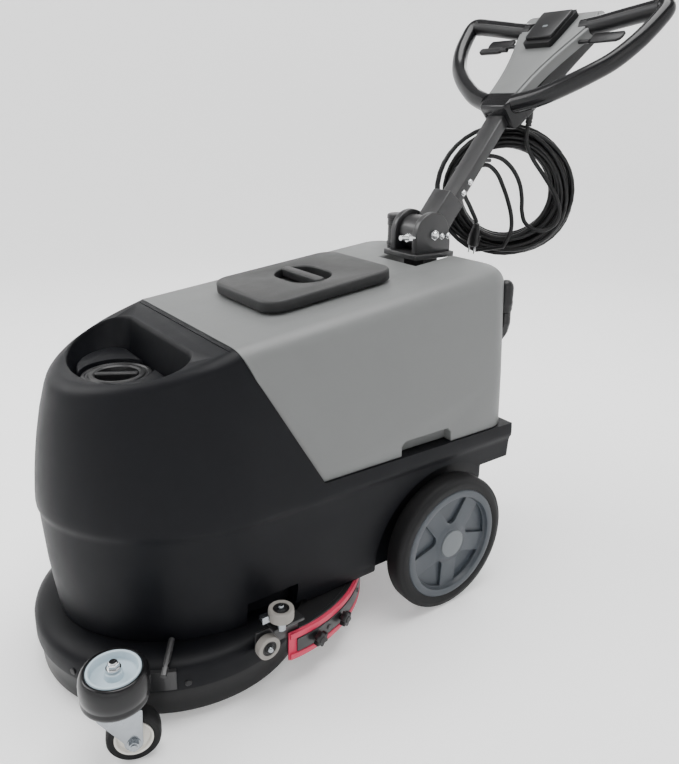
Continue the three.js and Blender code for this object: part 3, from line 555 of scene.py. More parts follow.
HEAD_SLOPE = 0.757
HEAD_FOOT = Vector((0, 352, 884))
PIVOT = Vector((0, 173, 656))
COLUMN_LEAN = 0.904


def on_head(bm):
    """Places a form made with Y up the head's slope and Z out from it."""
    turn(bm, math.degrees(HEAD_SLOPE), "X")
    return shift(bm, HEAD_FOOT)


def on_column(bm):
    """Places a form made with Y up the column and Z out from its upper face."""
    turn(bm, math.degrees(COLUMN_LEAN), "X")
    return shift(bm, PIVOT)


def taper_slab(stations, low, high):
    """A slab that is symmetric about X = 0, from (distance along, half width) stations."""
    right = [(half, along) for along, half in stations]
    left = [(-half, along) for along, half in reversed(stations)]
    return slab(right + left, low, high)


# ---------------------------------------------------------------- stage


FLOOR_RADIUS, FLOOR_BEND, WALL_HEIGHT, WALL_SIDES = 3.2, 1.6, 4.4, 96
PAPER_GLOW, SKY_STRENGTH = 0.24, 0.36
CAMERA_AT = (1.0391, -0.7887, 0.873)
CAMERA_AZIMUTH, CAMERA_ELEVATION, CAMERA_ROLL = 53.37, 16.72, 1.18
CAMERA_SENSOR, CAMERA_LENS, CAMERA_RISE = 36.0, 34.27, -0.0653


class ScrubberStage(bpy.types.Operator):
    """Makes the floor, the studio light and the camera"""

    bl_idname = "scrubber.stage"
    bl_label = "Stage"

    def execute(self, context):
        self.backdrop(context)
        self.light("key", (-1.9, -2.2, 2.9), (0, -0.15, 0.45), 2.4, 85)
        self.light("fill", (2.9, -1.7, 1.5), (0, 0, 0.5), 1.6, 4)
        self.light("top", (0.1, 0.2, 3.4), (0, 0, 0.5), 2.6, 140)
        self.light("back", (-1.2, 2.8, 2.4), (0, 0.2, 0.7), 1.8, 26)
        world = bpy.data.worlds.new("studio")
        world.use_nodes = True
        sky = world.node_tree.nodes["Background"]
        sky.inputs["Color"].default_value = (1.0, 1.0, 1.0, 1)
        sky.inputs["Strength"].default_value = SKY_STRENGTH
        context.scene.world = world
        self.camera(context)
        return {"FINISHED"}

    @staticmethod
    def backdrop(context):
        """A round pale floor that curves up into a wall, in metres."""
        rise = [math.pi / 2 * k / 16 for k in range(1, 17)]
        profile = [(FLOOR_RADIUS, 0)]
        profile += [
            (FLOOR_RADIUS + FLOOR_BEND * math.sin(t), FLOOR_BEND - FLOOR_BEND * math.cos(t))
            for t in rise
        ]
        profile += [(FLOOR_RADIUS + FLOOR_BEND, WALL_HEIGHT)]
        bm = bmesh.new()
        rings = []
        for radius, z in profile:
            angles = [math.tau * k / WALL_SIDES for k in range(WALL_SIDES)]
            rings.append([bm.verts.new((radius * math.cos(a), radius * math.sin(a), z)) for a in angles])
        bm.faces.new(rings[0])
        for lower, upper in zip(rings, rings[1:]):
            for k in range(WALL_SIDES):
                m = (k + 1) % WALL_SIDES
                bm.faces.new((lower[k], upper[k], upper[m], lower[m]))
        bmesh.ops.recalc_face_normals(bm, faces=bm.faces)
        for face in bm.faces:
            face.smooth = True
        mesh = bpy.data.meshes.new("backdrop")
        bm.to_mesh(mesh)
        bm.free()
        paper = bpy.data.materials.new("floor_paper")
        paper.use_nodes = True
        shader = paper.node_tree.nodes["Principled BSDF"]
        shader.inputs["Base Color"].default_value = (0.93, 0.93, 0.93, 1)
        shader.inputs["Roughness"].default_value = 0.8
        shader.inputs["Emission Color"].default_value = (1, 1, 1, 1)
        shader.inputs["Emission Strength"].default_value = PAPER_GLOW
        mesh.materials.append(paper)
        obj = bpy.data.objects.new("backdrop", mesh)
        context.scene.collection.objects.link(obj)
        return obj

    @staticmethod
    def light(name, place, target, size, power):
        lamp = bpy.data.lights.new(name, "AREA")
        lamp.shape = "DISK"
        lamp.size = size
        lamp.energy = power
        obj = bpy.data.objects.new(name, lamp)
        obj.location = place
        obj.rotation_euler = (Vector(target) - Vector(place)).to_track_quat("-Z", "Y").to_euler()
        bpy.context.scene.collection.objects.link(obj)

    @staticmethod
    def camera(context):
        azimuth, elevation, roll = (
            math.radians(a) for a in (CAMERA_AZIMUTH, CAMERA_ELEVATION, CAMERA_ROLL))
        back = Vector((
            math.sin(azimuth) * math.cos(elevation), -math.cos(azimuth) * math.cos(elevation),
            math.sin(elevation),
        ))
        level = Vector((math.cos(azimuth), math.sin(azimuth), 0))
        above = back.cross(level)
        right = level * math.cos(roll) + above * math.sin(roll)
        upward = above * math.cos(roll) - level * math.sin(roll)
        data = bpy.data.cameras.new("camera")
        data.sensor_fit = "AUTO"
        data.sensor_width = CAMERA_SENSOR
        data.lens = CAMERA_LENS
        data.shift_y = CAMERA_RISE
        obj = bpy.data.objects.new("camera", data)
        obj.matrix_world = Matrix.Translation(CAMERA_AT) @ Matrix(
            (right, upward, back)
        ).transposed().to_4x4()
        context.scene.collection.objects.link(obj)
        context.scene.camera = obj


# ---------------------------------------------------------------- cord

CORD_EXIT = (31.8, 425.9, 855.3)
LEAD = [
    (30.5, 425, 843), (31, 427, 822), (42, 437, 792), (63, 453, 757), (82, 470, 720),
    (91, 477, 686), (84, 472, 659), (62, 454, 646), (40, 436, 659), (32, 430, 684),
    (31, 427, 712), (31, 416, 742), (27, 398, 769), (20, 377, 788), (12, 359, 796),
    (0, 343, 797), (-15, 333, 793), (-33, 329, 785), (-60, 336, 774), (-84, 346, 765),
]
TAIL = [
    (2, 410, 602), (13, 412, 622), (20, 415, 648), (20, 411, 676), (17, 401, 705),
    (12, 388, 735), (8, 371, 762), (3, 346, 779), (-4, 319, 773), (-12, 304, 750),
    (-19, 308, 722), (-24, 332, 694), (-22, 350, 666), (-21.6, 352.5, 660),
]
COIL = {"middle": Vector((-17, 430, 720)), "turn": 0.715, "inner": 95.5, "outer": 131.5, "half": 17.0}
COIL_START, COIL_END, COIL_STEP = 166, 262, 9
FIRST_SWING, LAST_SWING = 30, 16
PLUG_AT = (-21.3, 353.4, 657.8)
PLUG_TURNS = ((24, "Z"), (12, "Y"), (16, "X"))


def winding_order(layers, lanes):
    """The radius and depth of each turn, wound lane by lane and layer by layer."""
    radii = [COIL["inner"] + (COIL["outer"] - COIL["inner"]) * i / (lanes - 1) for i in range(lanes)]
    depths = [COIL["half"] * (1 - 2 * i / (layers - 1)) for i in range(layers)]
    order = []
    for i, d in enumerate(depths):
        run = [(r, d) for r in (reversed(radii) if i % 2 == 0 else radii)]
        order += run[1:] if i == 0 else run
    order.append((radii[-1], depths[0]))
    return order


def loose_turns(turn_now, turns):
    """How far the first and the last turn swing out past the bundle."""
    swing = 0.0
    if 0.5 <= turn_now < 1.5:
        swing += FIRST_SWING * math.sin(math.pi * (turn_now - 0.5)) ** 4
    if turn_now > turns - 1.5:
        swing += LAST_SWING * math.sin(math.pi * (turn_now - turns + 1.5)) ** 4
    return swing


def coil_points(layers, lanes):
    """The wound part of the cord, from the lead's arrival to the tail's start."""
    draw = random.Random(11)
    across = Vector((math.cos(COIL["turn"]), math.sin(COIL["turn"]), 0))
    depth = Vector((math.sin(COIL["turn"]), -math.cos(COIL["turn"]), 0))
    middle = (COIL["inner"] + COIL["outer"]) / 2
    order = winding_order(layers, lanes)
    phases = [(draw.uniform(0, math.tau), draw.uniform(0, math.tau), draw.uniform(0.5, 1)) for _ in order]
    points = []
    total = 360 * (len(order) - 1) + (COIL_END - COIL_START)
    for angle in range(0, total + 1, COIL_STEP):
        turn_now = angle / 360
        k = min(int(turn_now), len(order) - 1)
        part = turn_now - k
        r, d = order[k]
        if k + 1 < len(order) and part > 0.8:
            mix = (part - 0.8) / 0.2
            mix = mix * mix * (3 - 2 * mix)
            r += (order[k + 1][0] - r) * mix
            d += (order[k + 1][1] - d) * mix
        a, b, size = phases[k]
        fade = math.sin(math.pi * min(1.0, max(0.0, part))) ** 2
        theta = math.radians(COIL_START + angle)
        r = middle + (r - middle) * (1 + 0.12 * math.cos(theta + 0.5))
        r += fade * size * (4.2 * math.sin(2 * theta + a) + 2.0 * math.sin(3 * theta + b))
        d += fade * size * 2.4 * math.sin(2 * theta + b)
        r += loose_turns(turn_now, len(order))
        flat = COIL["middle"] + across * (r * math.cos(theta)) + Vector((0, 0, r * math.sin(theta)))
        points.append(flat + depth * d)
    return points


class ScrubberCord(bpy.types.Operator):
    """Makes the mains cord from its strain relief through the coil to the plug"""

    bl_idname = "scrubber.cord"
    bl_label = "Cord and plug"

    def execute(self, context):
        sizes = context.scene.scrubber_sizes
        coil = coil_points(sizes.coil_layers, sizes.coil_lanes)
        line = smooth_path([CORD_EXIT, *LEAD], 6)
        line += coil[1:-1]
        line += smooth_path(TAIL, 6)[1:]
        data = bpy.data.curves.new("cord", "CURVE")
        data.dimensions = "3D"
        spline = data.splines.new("POLY")
        spline.points.add(len(line) - 1)
        for point, p in zip(spline.points, line):
            point.co = (*(p * MM), 1)
        data.bevel_depth = sizes.cord_diameter / 2 * MM
        data.bevel_resolution = 3
        data.use_fill_caps = True
        data.materials.append(MATERIALS["cord_sheath"])
        cord = bpy.data.objects.new("cord", data)
        context.scene.collection.objects.link(cord)
        spline.use_smooth = True
        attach(cord, "handle")
        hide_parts("cord_lead", "cord_tail", "cord_coil")
        plug, pins = self.plug()
        real = sum((b - a).length for a, b in zip(line, line[1:])) * MM
        return {"FINISHED"}

    @staticmethod
    def plug():
        """The plug's body and its two pins, hanging at the tail's end."""
        place = Matrix.Translation(PLUG_AT)
        for degrees, axis in PLUG_TURNS:
            place = place @ Matrix.Rotation(math.radians(degrees), 4, axis)
        body = turned([
            (0, -52), (10.5, -52), (12.2, -50.6), (12.8, -47), (12.4, -30), (11, -22), (9.2, -15),
            (8, -11), (7.8, -9), (7.0, -8.5), (7.8, -7), (6.8, -6), (7.4, -4), (6.2, -3),
            (6.6, -1), (5.2, 0), (0, 0),
        ], 40)
        bmesh.ops.scale(body, vec=(1, 0.8, 1), verts=body.verts)
        ribs = [block(-13.2, 13.2, -5, 5, z - 0.9, z + 0.9) for z in (-30, -35, -40)]
        whole = joined(body, *[soften(r, 0.5) for r in ribs])
        bmesh.ops.transform(whole, matrix=place, verts=whole.verts)
        pins = joined(*[soften(block(x - 1.5, x + 1.5, -3.2, 3.2, -71, -51), 0.5) for x in (-6, 6)])
        bmesh.ops.transform(pins, matrix=place, verts=pins.verts)
        shell = piece("plug_body", whole, "black_plastic", "handle", ["cord_plug"])
        return shell, piece("plug_pins", pins, "bright_steel", "handle")


# ---------------------------------------------------------------- nose tank

BODY_LEVELS = [
    (99.5, 190, -546), (106, 193, -549), (130, 196.5, -553), (160, 200, -557), (200, 204.5, -561.5),
    (250, 208.5, -565), (280, 210.5, -567), (288, 212, -568), (293, 215.3, -570.4),
    (300, 216, -571), (312, 215.3, -570.4), (340, 213, -568), (370, 210.3, -564.5),
    (400, 207.3, -560), (440, 204.3, -552), (480, 200.5, -541), (510, 196, -526),
    (530, 191, -512), (545, 184.5, -497), (560, 178, -480),
]
BODY_REAR = 236
NOSE_START = -314
NOSE_POWER = 1.9
NOSE_TOP = {"y": -327, "z": 553, "fall": 0.27}
SEAM = [(-327, 553), (-307, 510), (-196, 322)]
SEAM_REAR = 318


def body_level(z):
    """Half width and front of the nose tank at a height."""
    for (z0, half0, front0), (z1, half1, front1) in zip(BODY_LEVELS, BODY_LEVELS[1:]):
        if z <= z1:
            t = max(0.0, (z - z0) / (z1 - z0))
            return half0 + (half1 - half0) * t, front0 + (front1 - front0) * t
    return BODY_LEVELS[-1][1:]


def body_point(share, z, inset=0.0):
    """A point of the nose tank's outline: share 0..1 goes round it from the left rear corner."""
    half, front = body_level(z)
    side_run, nose_run = 0.16, 0.68
    if share < side_run:
        t = share / side_run
        return half - inset, BODY_REAR + (NOSE_START - BODY_REAR) * t
    if share > 1 - side_run:
        t = (1 - share) / side_run
        return -half + inset, BODY_REAR + (NOSE_START - BODY_REAR) * t
    angle = math.pi * (share - side_run) / nose_run
    across = math.copysign(abs(math.cos(angle)) ** (2 / NOSE_POWER), math.cos(angle))
    reach = max(0.0, math.sin(angle)) ** (2 / NOSE_POWER)
    return (half - inset) * across, NOSE_START - (NOSE_START - front - inset) * reach


def nose_top(y):
    """Height of the nose's sloping top at a place along the machine."""
    return NOSE_TOP["z"] + NOSE_TOP["fall"] * (y - NOSE_TOP["y"])


def nose_form(shoulder):
    """The nose tank's outer form, with its top edge rounded over."""
    shares = [i / 149 for i in range(150)]
    levels = [(z, None) for z, *_ in BODY_LEVELS if z < 445]
    levels += [(s / 4, "rise") for s in range(1, 5)]
    levels += [(math.pi / 2 * s / 7, "round") for s in range(1, 8)]
    rings = []
    for value, kind in levels:
        ring = []
        for share in shares:
            _, y_top = body_point(share, 515)
            top = nose_top(min(y_top, -300))
            inset = 0.0
            z = value
            if kind == "rise":
                z = 440 + (top - shoulder - 440) * value
            elif kind == "round":
                z = top - shoulder + shoulder * math.sin(value)
                inset = shoulder * (1 - math.cos(value))
            x, y = body_point(share, min(z, 556), inset)
            ring.append(Vector((x, y, z)))
        rings.append(ring)
    return stacked(rings)


def seat_prism(gap):
    """Everything above and behind the seam between the two tanks."""
    outline = [(SEAM[0][0] - gap, 800)]
    outline += [(y - gap, z - (gap if z < 400 else 0)) for y, z in SEAM]
    outline += [(320, SEAM_REAR - gap), (320, 800)]
    return side_slab(outline, -280, 280)


def well_outline(half, reach, rear, middle, corner, grow=0.0):
    """A D shape: straight at the rear, half an ellipse at the front."""
    points = []
    for side, start in ((1, 0), (-1, math.pi / 2)):
        cx, cy = side * (half - corner), rear - corner
        points += [
            (cx + (corner + grow) * math.cos(start + math.pi / 2 * k / 12),
             cy + (corner + grow) * math.sin(start + math.pi / 2 * k / 12)) for k in range(13)
        ]
    points += [
        ((half + grow) * math.cos(math.pi + math.pi * k / 48),
         middle + (reach + grow) * math.sin(math.pi + math.pi * k / 48)) for k in range(1, 48)
    ]
    return points


def well_form(lip):
    """The hand well in the nose, wider at its mouth, where its lip is rounded."""
    rings = []
    foot = well_outline(119, 84, -381, -412, 28)
    mouth = well_outline(147, 97, -369, -404, 40)
    for share in (0, 0.5, 1):
        ring = []
        for (x0, y0), (x1, y1) in zip(foot, mouth):
            x, y = x0 + (x1 - x0) * share, y0 + (y1 - y0) * share
            ring.append(Vector((x, y, 470 + (nose_top(y) - lip - 470) * share)))
        rings.append(ring)
    for k in range(1, 8):
        a = math.pi / 2 * k / 7
        wide = well_outline(147, 97, -369, -404, 40, lip * (1 - math.cos(a)))
        rings.append([Vector((x, y, nose_top(y) - lip + (lip + 0.4) * math.sin(a))) for x, y in wide])
    rings.append([p + Vector((0, 0, 60)) for p in rings[-1]])
    return stacked(rings)


class ScrubberNoseTank(bpy.types.Operator):
    """Makes the black nose tank with its well, seat, arches and filler cap"""

    bl_idname = "scrubber.nose_tank"
    bl_label = "Nose tank"

    def execute(self, context):
        sizes = context.scene.scrubber_sizes
        tools = [
            seat_prism(0.2), well_form(11),
            side_slab([(-60, 0), (0, 99.5), (110, 248), (320, 248), (320, 0)], -280, 280),
            turned([(0, 60), (240, 60), (240, 107), (0, 107)], 96, at=BRUSH_AT),
            turned([(0, 60), (96, 60), (96, 330), (0, 330)], 48, at=BRUSH_AT),
            turned([(0, 60), (52, 60), (52, 312), (0, 312)], 40, at=(112, 168, 0)),
            block(-36, 36, 118, 320, 60, 400),
            block(-22, 22, -84, 118, 60, 276),
            turned([(0, 440), (38, 440), (38, 500), (0, 500)], 48, at=FILLER_AT),
            side_slab([(-335.5, 548.2), (-333.5, 548.7), (-333.5, 700), (-335.5, 700)], -172, 172),
        ]
        for side in (1, -1):
            tools.append(turned([(0, 178 * side), (146, 178 * side), (146, 260 * side), (0, 260 * side)],
                                72, "X", at=(0, 73, 128)))
            low, high = sorted((170 * side, 280 * side))
            tools.append(slab([(low, -328), (high, -328), (high, -236), (low, -236)], 60, 148))
            tools.append(block(low, high, -345, -238, 60, 107))
        form = carved(nose_form(sizes.nose_shoulder), tools)
        soften(form, 3.0, lambda m: 235 < m.z < 560 and m.y > -335 and abs(m.x) > 60, 2, 40)
        piece("nose_tank", form, "shell_black", "machine", ["solution_tank"], 40)
        tail = side_slab([(66, 186), (196, 186), (206, 196), (206, 249), (66, 249)], -174, 174)
        soften(tail, 5, lambda m: m.y > 150)
        piece("tail_box", tail, "shell_black", "machine")
        self.well_floor()
        self.cap()
        return {"FINISHED"}

    @staticmethod
    def well_floor():
        """The raised step that the filler cap sits in."""
        outline = well_outline(117, 81, -386, -411, 26)
        step = slab(outline, 469, 491.5)
        soften(step, 4.5, lambda m: m.z > 491, 4)
        step = carved(step, [
            turned([(0, 460), (56, 460), (56, 500), (0, 500)], 72, at=FILLER_AT),
        ])
        soften(step, 1.2, lambda m: m.z > 491 and (m.xy - Vector(FILLER_AT).xy).length < 57, 2)
        piece("well_step", step, "shell_black", "machine", smooth=40)

    @staticmethod
    def cap():
        rim = turned([
            (0, 457), (36, 457), (36, 470.6), (52.5, 470.6), (53.5, 473), (53.5, 484), (52, 486.4),
            (48, 487.4), (46, 485.4), (43.6, 485.4), (41.6, 487.4), (36, 487.8), (33, 486), (31, 479),
            (26, 475), (0, 475),
        ], 72, at=FILLER_AT)
        bar = slab(rounded_outline(-33, 33, -6.5, 6.5, 6), 474, 488.4)
        soften(bar, 2.5, lambda m: m.z > 485)
        turn(bar, 62, "Z")
        shift(bar, FILLER_AT)
        piece("filler_cap_detail", joined(rim, bar), "black_plastic", "filler_cap",
              ["filler_cap"])


# ---------------------------------------------------------------- recovery tank

TANK_HALF, TANK_TOP_HALF = 211, 196
TANK_RISE = 0.118
TANK_REAR = 236
CHANNEL_HALF, CHANNEL_FRONT = 53, 118


def above_seam(y):
    """Height of the recovery tank's top plane at a place along the machine."""
    return NOSE_TOP["z"] + TANK_RISE * (y - NOSE_TOP["y"])


def tank_outline(half, front, rear, corner):
    """Half width outline with round rear corners and tight front ones."""
    points = []
    for x_sign, quarter in ((1, 0), (-1, 1)):
        cx, cy = x_sign * (half - corner), rear - corner
        points += [
            (cx + corner * math.cos(math.pi / 2 * (quarter + k / 12)),
             cy + corner * math.sin(math.pi / 2 * (quarter + k / 12))) for k in range(13)
        ]
    for x_sign, quarter in ((-1, 2), (1, 3)):
        cx, cy = x_sign * (half - 8), front + 8
        points += [
            (cx + 8 * math.cos(math.pi / 2 * (quarter + k / 4)),
             cy + 8 * math.sin(math.pi / 2 * (quarter + k / 4))) for k in range(5)
        ]
    return points


def tank_form(crease):
    """The recovery tank before its seat, channel and notches are cut."""
    rise = 262.0
    levels = [(h, 0.0) for h in (0, 60, 140, 200, rise - crease)]
    levels += [
        (rise - crease + crease * math.sin(math.pi / 2 * k / 9),
         crease * (1 - math.cos(math.pi / 2 * k / 9))) for k in range(1, 10)
    ]
    rings = []
    for height, inset in levels:
        lean = min(1.0, height / (rise - crease))
        half = TANK_HALF + (TANK_TOP_HALF - TANK_HALF) * lean - inset
        ring = []
        for x, y in tank_outline(half, -340, TANK_REAR - inset, 55 - inset * 0.6):
            z = 318 if height == 0 else max(above_seam(y) - rise + height, 318 + height * 0.01)
            ring.append(Vector((x, y, z)))
        rings.append(ring)
    return stacked(rings)


class ScrubberRecoveryTank(bpy.types.Operator):
    """Makes the grey recovery tank with its lid, filler neck and drain cap"""

    bl_idname = "scrubber.recovery_tank"
    bl_label = "Recovery tank"

    def execute(self, context):
        sizes = context.scene.scrubber_sizes
        tools = [
            side_slab([(-400, 200), (-400, 800), (SEAM[0][0], 800), *SEAM, (330, SEAM_REAR), (330, 200)],
                      -280, 280),
            slab([(-CHANNEL_HALF, CHANNEL_FRONT), (CHANNEL_HALF, CHANNEL_FRONT),
                  (CHANNEL_HALF, 300), (-CHANNEL_HALF, 300)], 200, 800),
            slab(rounded_outline(-80, 80, -200, 8, 18), 480, 700),
        ]
        for side in (1, -1):
            low, high = sorted((193 * side, 260 * side))
            notch = side_slab([(-36, 250), (78, 250), (78, 338), (70, 346), (-28, 346), (-36, 338)],
                              low, high)
            tools.append(notch)
        form = carved(tank_form(sizes.tank_crease), tools)
        soften(form, 3.0, lambda m: m.z < 560 and m.y < -190, 3, 40)
        soften(form, 5.0, lambda m: m.y > 100 and abs(m.x) < 60, 3, 40)
        soften(form, 2.0, lambda m: m.z < 350 and abs(m.x) > 150, 2, 40)
        piece("recovery_tank_shell", form, "shell_grey", "recovery_tank",
              ["recovery_tank"], 40)
        self.lid()
        self.neck()
        self.drain()
        return {"FINISHED"}

    @staticmethod
    def on_lid(bm):
        """Places a form made flat about the lid's middle."""
        turn(bm, math.degrees(math.atan(TANK_RISE)), "X")
        return shift(bm, (0, -96.5, 580.2))

    def lid(self):
        recess = rounded_outline(-58, 58, -40, 40, 39.5, 14)
        plate = carved(
            slab(rounded_outline(-101, 101, -130.5, 130.5, 34, 12), 4.3, 24),
            [slab(recess, 7.5, 40)],
        )
        soften(plate, 6, lambda m: m.z > 23.5 and max(abs(m.x), abs(m.y)) > 80, 5)
        soften(plate, 3, lambda m: m.z > 23.5 and max(abs(m.x), abs(m.y)) < 70, 4, 50)
        soften(plate, 2, lambda m: m.z < 4.5 and max(abs(m.x), abs(m.y)) > 80, 2)
        grip = slab(rounded_outline(-58.5, 58.5, -9, 9, 8.8, 8), 12, 27)
        soften(grip, 4, lambda m: m.z > 26.5, 4)
        whole = self.on_lid(joined(plate, grip))
        piece("recovery_lid_plate", whole, "lid_grey", "recovery_lid", ["recovery_lid"])

    @staticmethod
    def neck():
        x, y = -73, 186
        cap = turned([
            (0, 660), (26.2, 660), (26.2, 672.4), (27.4, 673.4), (27.4, 679), (26, 682), (22, 683.2),
            (0, 683.4),
        ], 56, at=(x, y, 0))
        tongue = slab(rounded_outline(-106.5, -88, y - 9, y + 9, 6), 674.2, 677.5)
        soften(tongue, 1)
        piece("rear_cap", joined(cap, tongue), "black_plastic", "rear_filler_cap",
              ["rear_filler_cap"])
        wall = turned([
            (21, 652), (21, 600), (25, 600), (25, 620), (26.6, 621), (26.6, 626), (25.4, 627.5),
            (25, 630), (25, 659), (21, 659), (21, 652),
        ], 56, at=(x, y, 0))
        piece("rear_neck", wall, "black_plastic", "recovery_tank",
              ["rear_filler_neck"])
        strap = swept([(x - 24, y, 640), (x - 32, y + 2, 636), (x - 38, y + 4, 645), (x - 39, y + 3, 660),
                       (x - 35, y, 670.5)], 1.7, 2, 12)
        piece("cap_tether", strap, "black_rubber", "recovery_tank")

    @staticmethod
    def drain():
        place = (176, 232, 0)
        shell = turned([
            (0, 528.3), (12, 528.3), (12.6, 531), (13.6, 534), (13.6, 541), (14.2, 542), (14.2, 549),
            (13.6, 550), (13.8, 574), (12.4, 580), (9, 585), (5, 587.5), (0, 588),
        ], 40, at=place)
        piece("drain_plug", shell, "black_plastic", "drain_cap", ["drain_cap"])


# ---------------------------------------------------------------- deck, brush and skirt


class ScrubberDeck(bpy.types.Operator):
    """Makes the brush deck, its splash skirt and the brush"""

    bl_idname = "scrubber.deck"
    bl_label = "Deck and brush"

    def execute(self, context):
        at = BRUSH_AT
        cover = turned([
            (40, 98), (190, 98), (206, 95), (214, 90), (218.6, 84), (221, 76), (221.5, 60.5),
            (229.3, 60.5), (229.5, 61.5), (229.5, 86), (227.6, 92), (222.5, 97), (215, 101),
            (205, 104), (195, 105.5), (184, 106), (40, 106),
        ], 128, at=at)
        piece("deck", cover, "shell_black", "machine", ["deck_cover"])
        skirt = turned([
            (214.5, 14), (215.2, 13), (219.8, 13), (221.8, 15), (222.4, 20), (221.4, 28),
            (221.4, 44), (222.5, 50), (222.5, 57.7), (214.5, 57.7),
        ], 128, at=at)
        piece("skirt", skirt, "skirt_rubber", "machine", ["splash_skirt"])
        screws = []
        for degrees in range(-20, 340, 45):
            a = math.radians(degrees)
            c, s = math.cos(a), math.sin(a)
            screws.append(soften(rod((229 * c, -360 + 229 * s, 72), (231.4 * c, -360 + 231.4 * s, 72), 5, 24),
                                 1.0))
        piece("deck_screws", joined(*screws), "black_plastic", "machine")
        self.brush(at)
        return {"FINISHED"}

    @staticmethod
    def brush(at):
        disc = turned([
            (60, 46), (60, 41), (62, 40), (188, 40), (190, 42), (190, 55), (187, 57), (150, 63.5),
            (62, 64), (60, 62),
        ], 96, at=at)
        ribs = []
        for k in range(16):
            rib = block(62, 150, -1.6, 1.6, 60, 68)
            soften(rib, 0.6, segments=1)
            ribs.append(shift(turn(rib, 22.5 * k, "Z"), at))
        hub = turned([(0, 46.5), (24, 46.5), (61, 46.5), (61, 63.5), (24, 72), (23, 97), (0, 97)], 48, at=at)
        piece("brush_plate", joined(disc, *ribs), "brush_resin", "brush", ["brush_block"])
        piece("brush_coupling", hub, "coupling_blue", "brush")
        draw = random.Random(5)
        tufts = bmesh.new()
        for row, radius in enumerate(range(84, 187, 11)):
            count = round(math.tau * radius / 15)
            for k in range(count):
                a = math.tau * (k + 0.5 * (row % 2)) / count
                spread = (radius + (radius - 118) * 0.14) if radius > 118 else radius - 4
                spread += draw.uniform(-1.5, 1.5)
                top = Vector((radius * math.cos(a), radius * math.sin(a) - 360, 42))
                b = a + draw.uniform(-0.012, 0.012)
                foot = Vector((spread * math.cos(b), spread * math.sin(b) - 360, 1.6))
                middle = (top + foot) / 2
                place = (Matrix.Translation(middle)
                         @ (foot - top).to_track_quat("Z", "Y").to_matrix().to_4x4())
                bmesh.ops.create_cone(tufts, cap_ends=True, segments=7, radius1=3.2, radius2=6.2,
                                      depth=(foot - top).length, matrix=place)
        piece("bristles", tidy(tufts), "bristle_black", "brush", ["brush_bristles"])


# ---------------------------------------------------------------- rear wheels


class ScrubberRearWheels(bpy.types.Operator):
    """Makes both rear wheels with tyre, spoked rim and hub cap"""

    bl_idname = "scrubber.rear_wheels"
    bl_label = "Rear wheels"

    def execute(self, context):
        for side, where in ((1, "left"), (-1, "right")):
            self.tyre(side, where)
            self.rim(side, where)
        return {"FINISHED"}

    @staticmethod
    def place(bm, side):
        """From X outward about the hub to the wheel's place."""
        if side < 0:
            flipped(bm)
        return tidy(shift(bm, (0, 73, 128)))

    def tyre(self, side, where):
        band = turned([
            (104.6, 201.5), (112, 199.6), (121, 199.8), (126, 203), (127.6, 207), (128, 212),
            (128, 226), (127.6, 231), (126, 235), (123.6, 236.8), (120, 237.2), (118.6, 238.2),
            (116, 239), (109, 238.6), (104.6, 237),
        ], 96, "X")
        piece(f"tyre_{where}", self.place(band, side), "tyre_rubber", f"rear_wheel_{where}",
              [f"rear_tyre_{where}"])

    def rim(self, side, where):
        dish = turned([
            (9.2, 203), (34, 203), (40, 206), (99, 206), (104.4, 203), (104.4, 236.6),
            (103, 238.4), (101, 238.9), (92, 238.9), (90.6, 238), (89.4, 233), (87.6, 230.4),
            (84, 229.6), (40, 231.6), (34, 233), (31, 235), (9.2, 235.4),
        ], 96, "X")
        pockets = [self.pocket(k * 72 + 36) for k in range(5)]
        dish = carved(dish, pockets)
        soften(dish, 1.8, lambda m: m.x > 226 and 36 < m.yz.length < 86, 3, 40)
        cap = turned([
            (0, 232), (26, 232), (26, 237), (24.8, 238.4), (21, 239), (10, 239.5), (0, 239.5),
        ], 64, "X")
        body = f"rear_wheel_{where}"
        piece(f"rim_{where}", self.place(dish, side), "rim_grey", body,
              [f"rear_rim_{where}"])
        piece(f"hub_cap_{where}", self.place(cap, side), "hub_grey", body)

    @staticmethod
    def pocket(degrees):
        """One hollow between two spokes, with round corners."""
        half = math.radians(24)
        outer = [half * (1 - k / 8) for k in range(17)]
        inner = [math.pi * (0.38 - 0.76 * k / 12) for k in range(13)]
        outline = [(87 * math.cos(t), 87 * math.sin(t)) for t in outer]
        outline += [(52 - 13 * math.cos(t), -13 * math.sin(t)) for t in inner]
        bm = slab(outline, 225, 245)
        turn(bm, degrees, "Z")
        return turn(tidy(bm), 90, "Y")


# ---------------------------------------------------------------- bumper and caster

BUMPER_AT = (214, -544, 0)
CASTER_TURN, CASTER_TRAIL, CASTER_RADIUS = 0.36, 20, 38


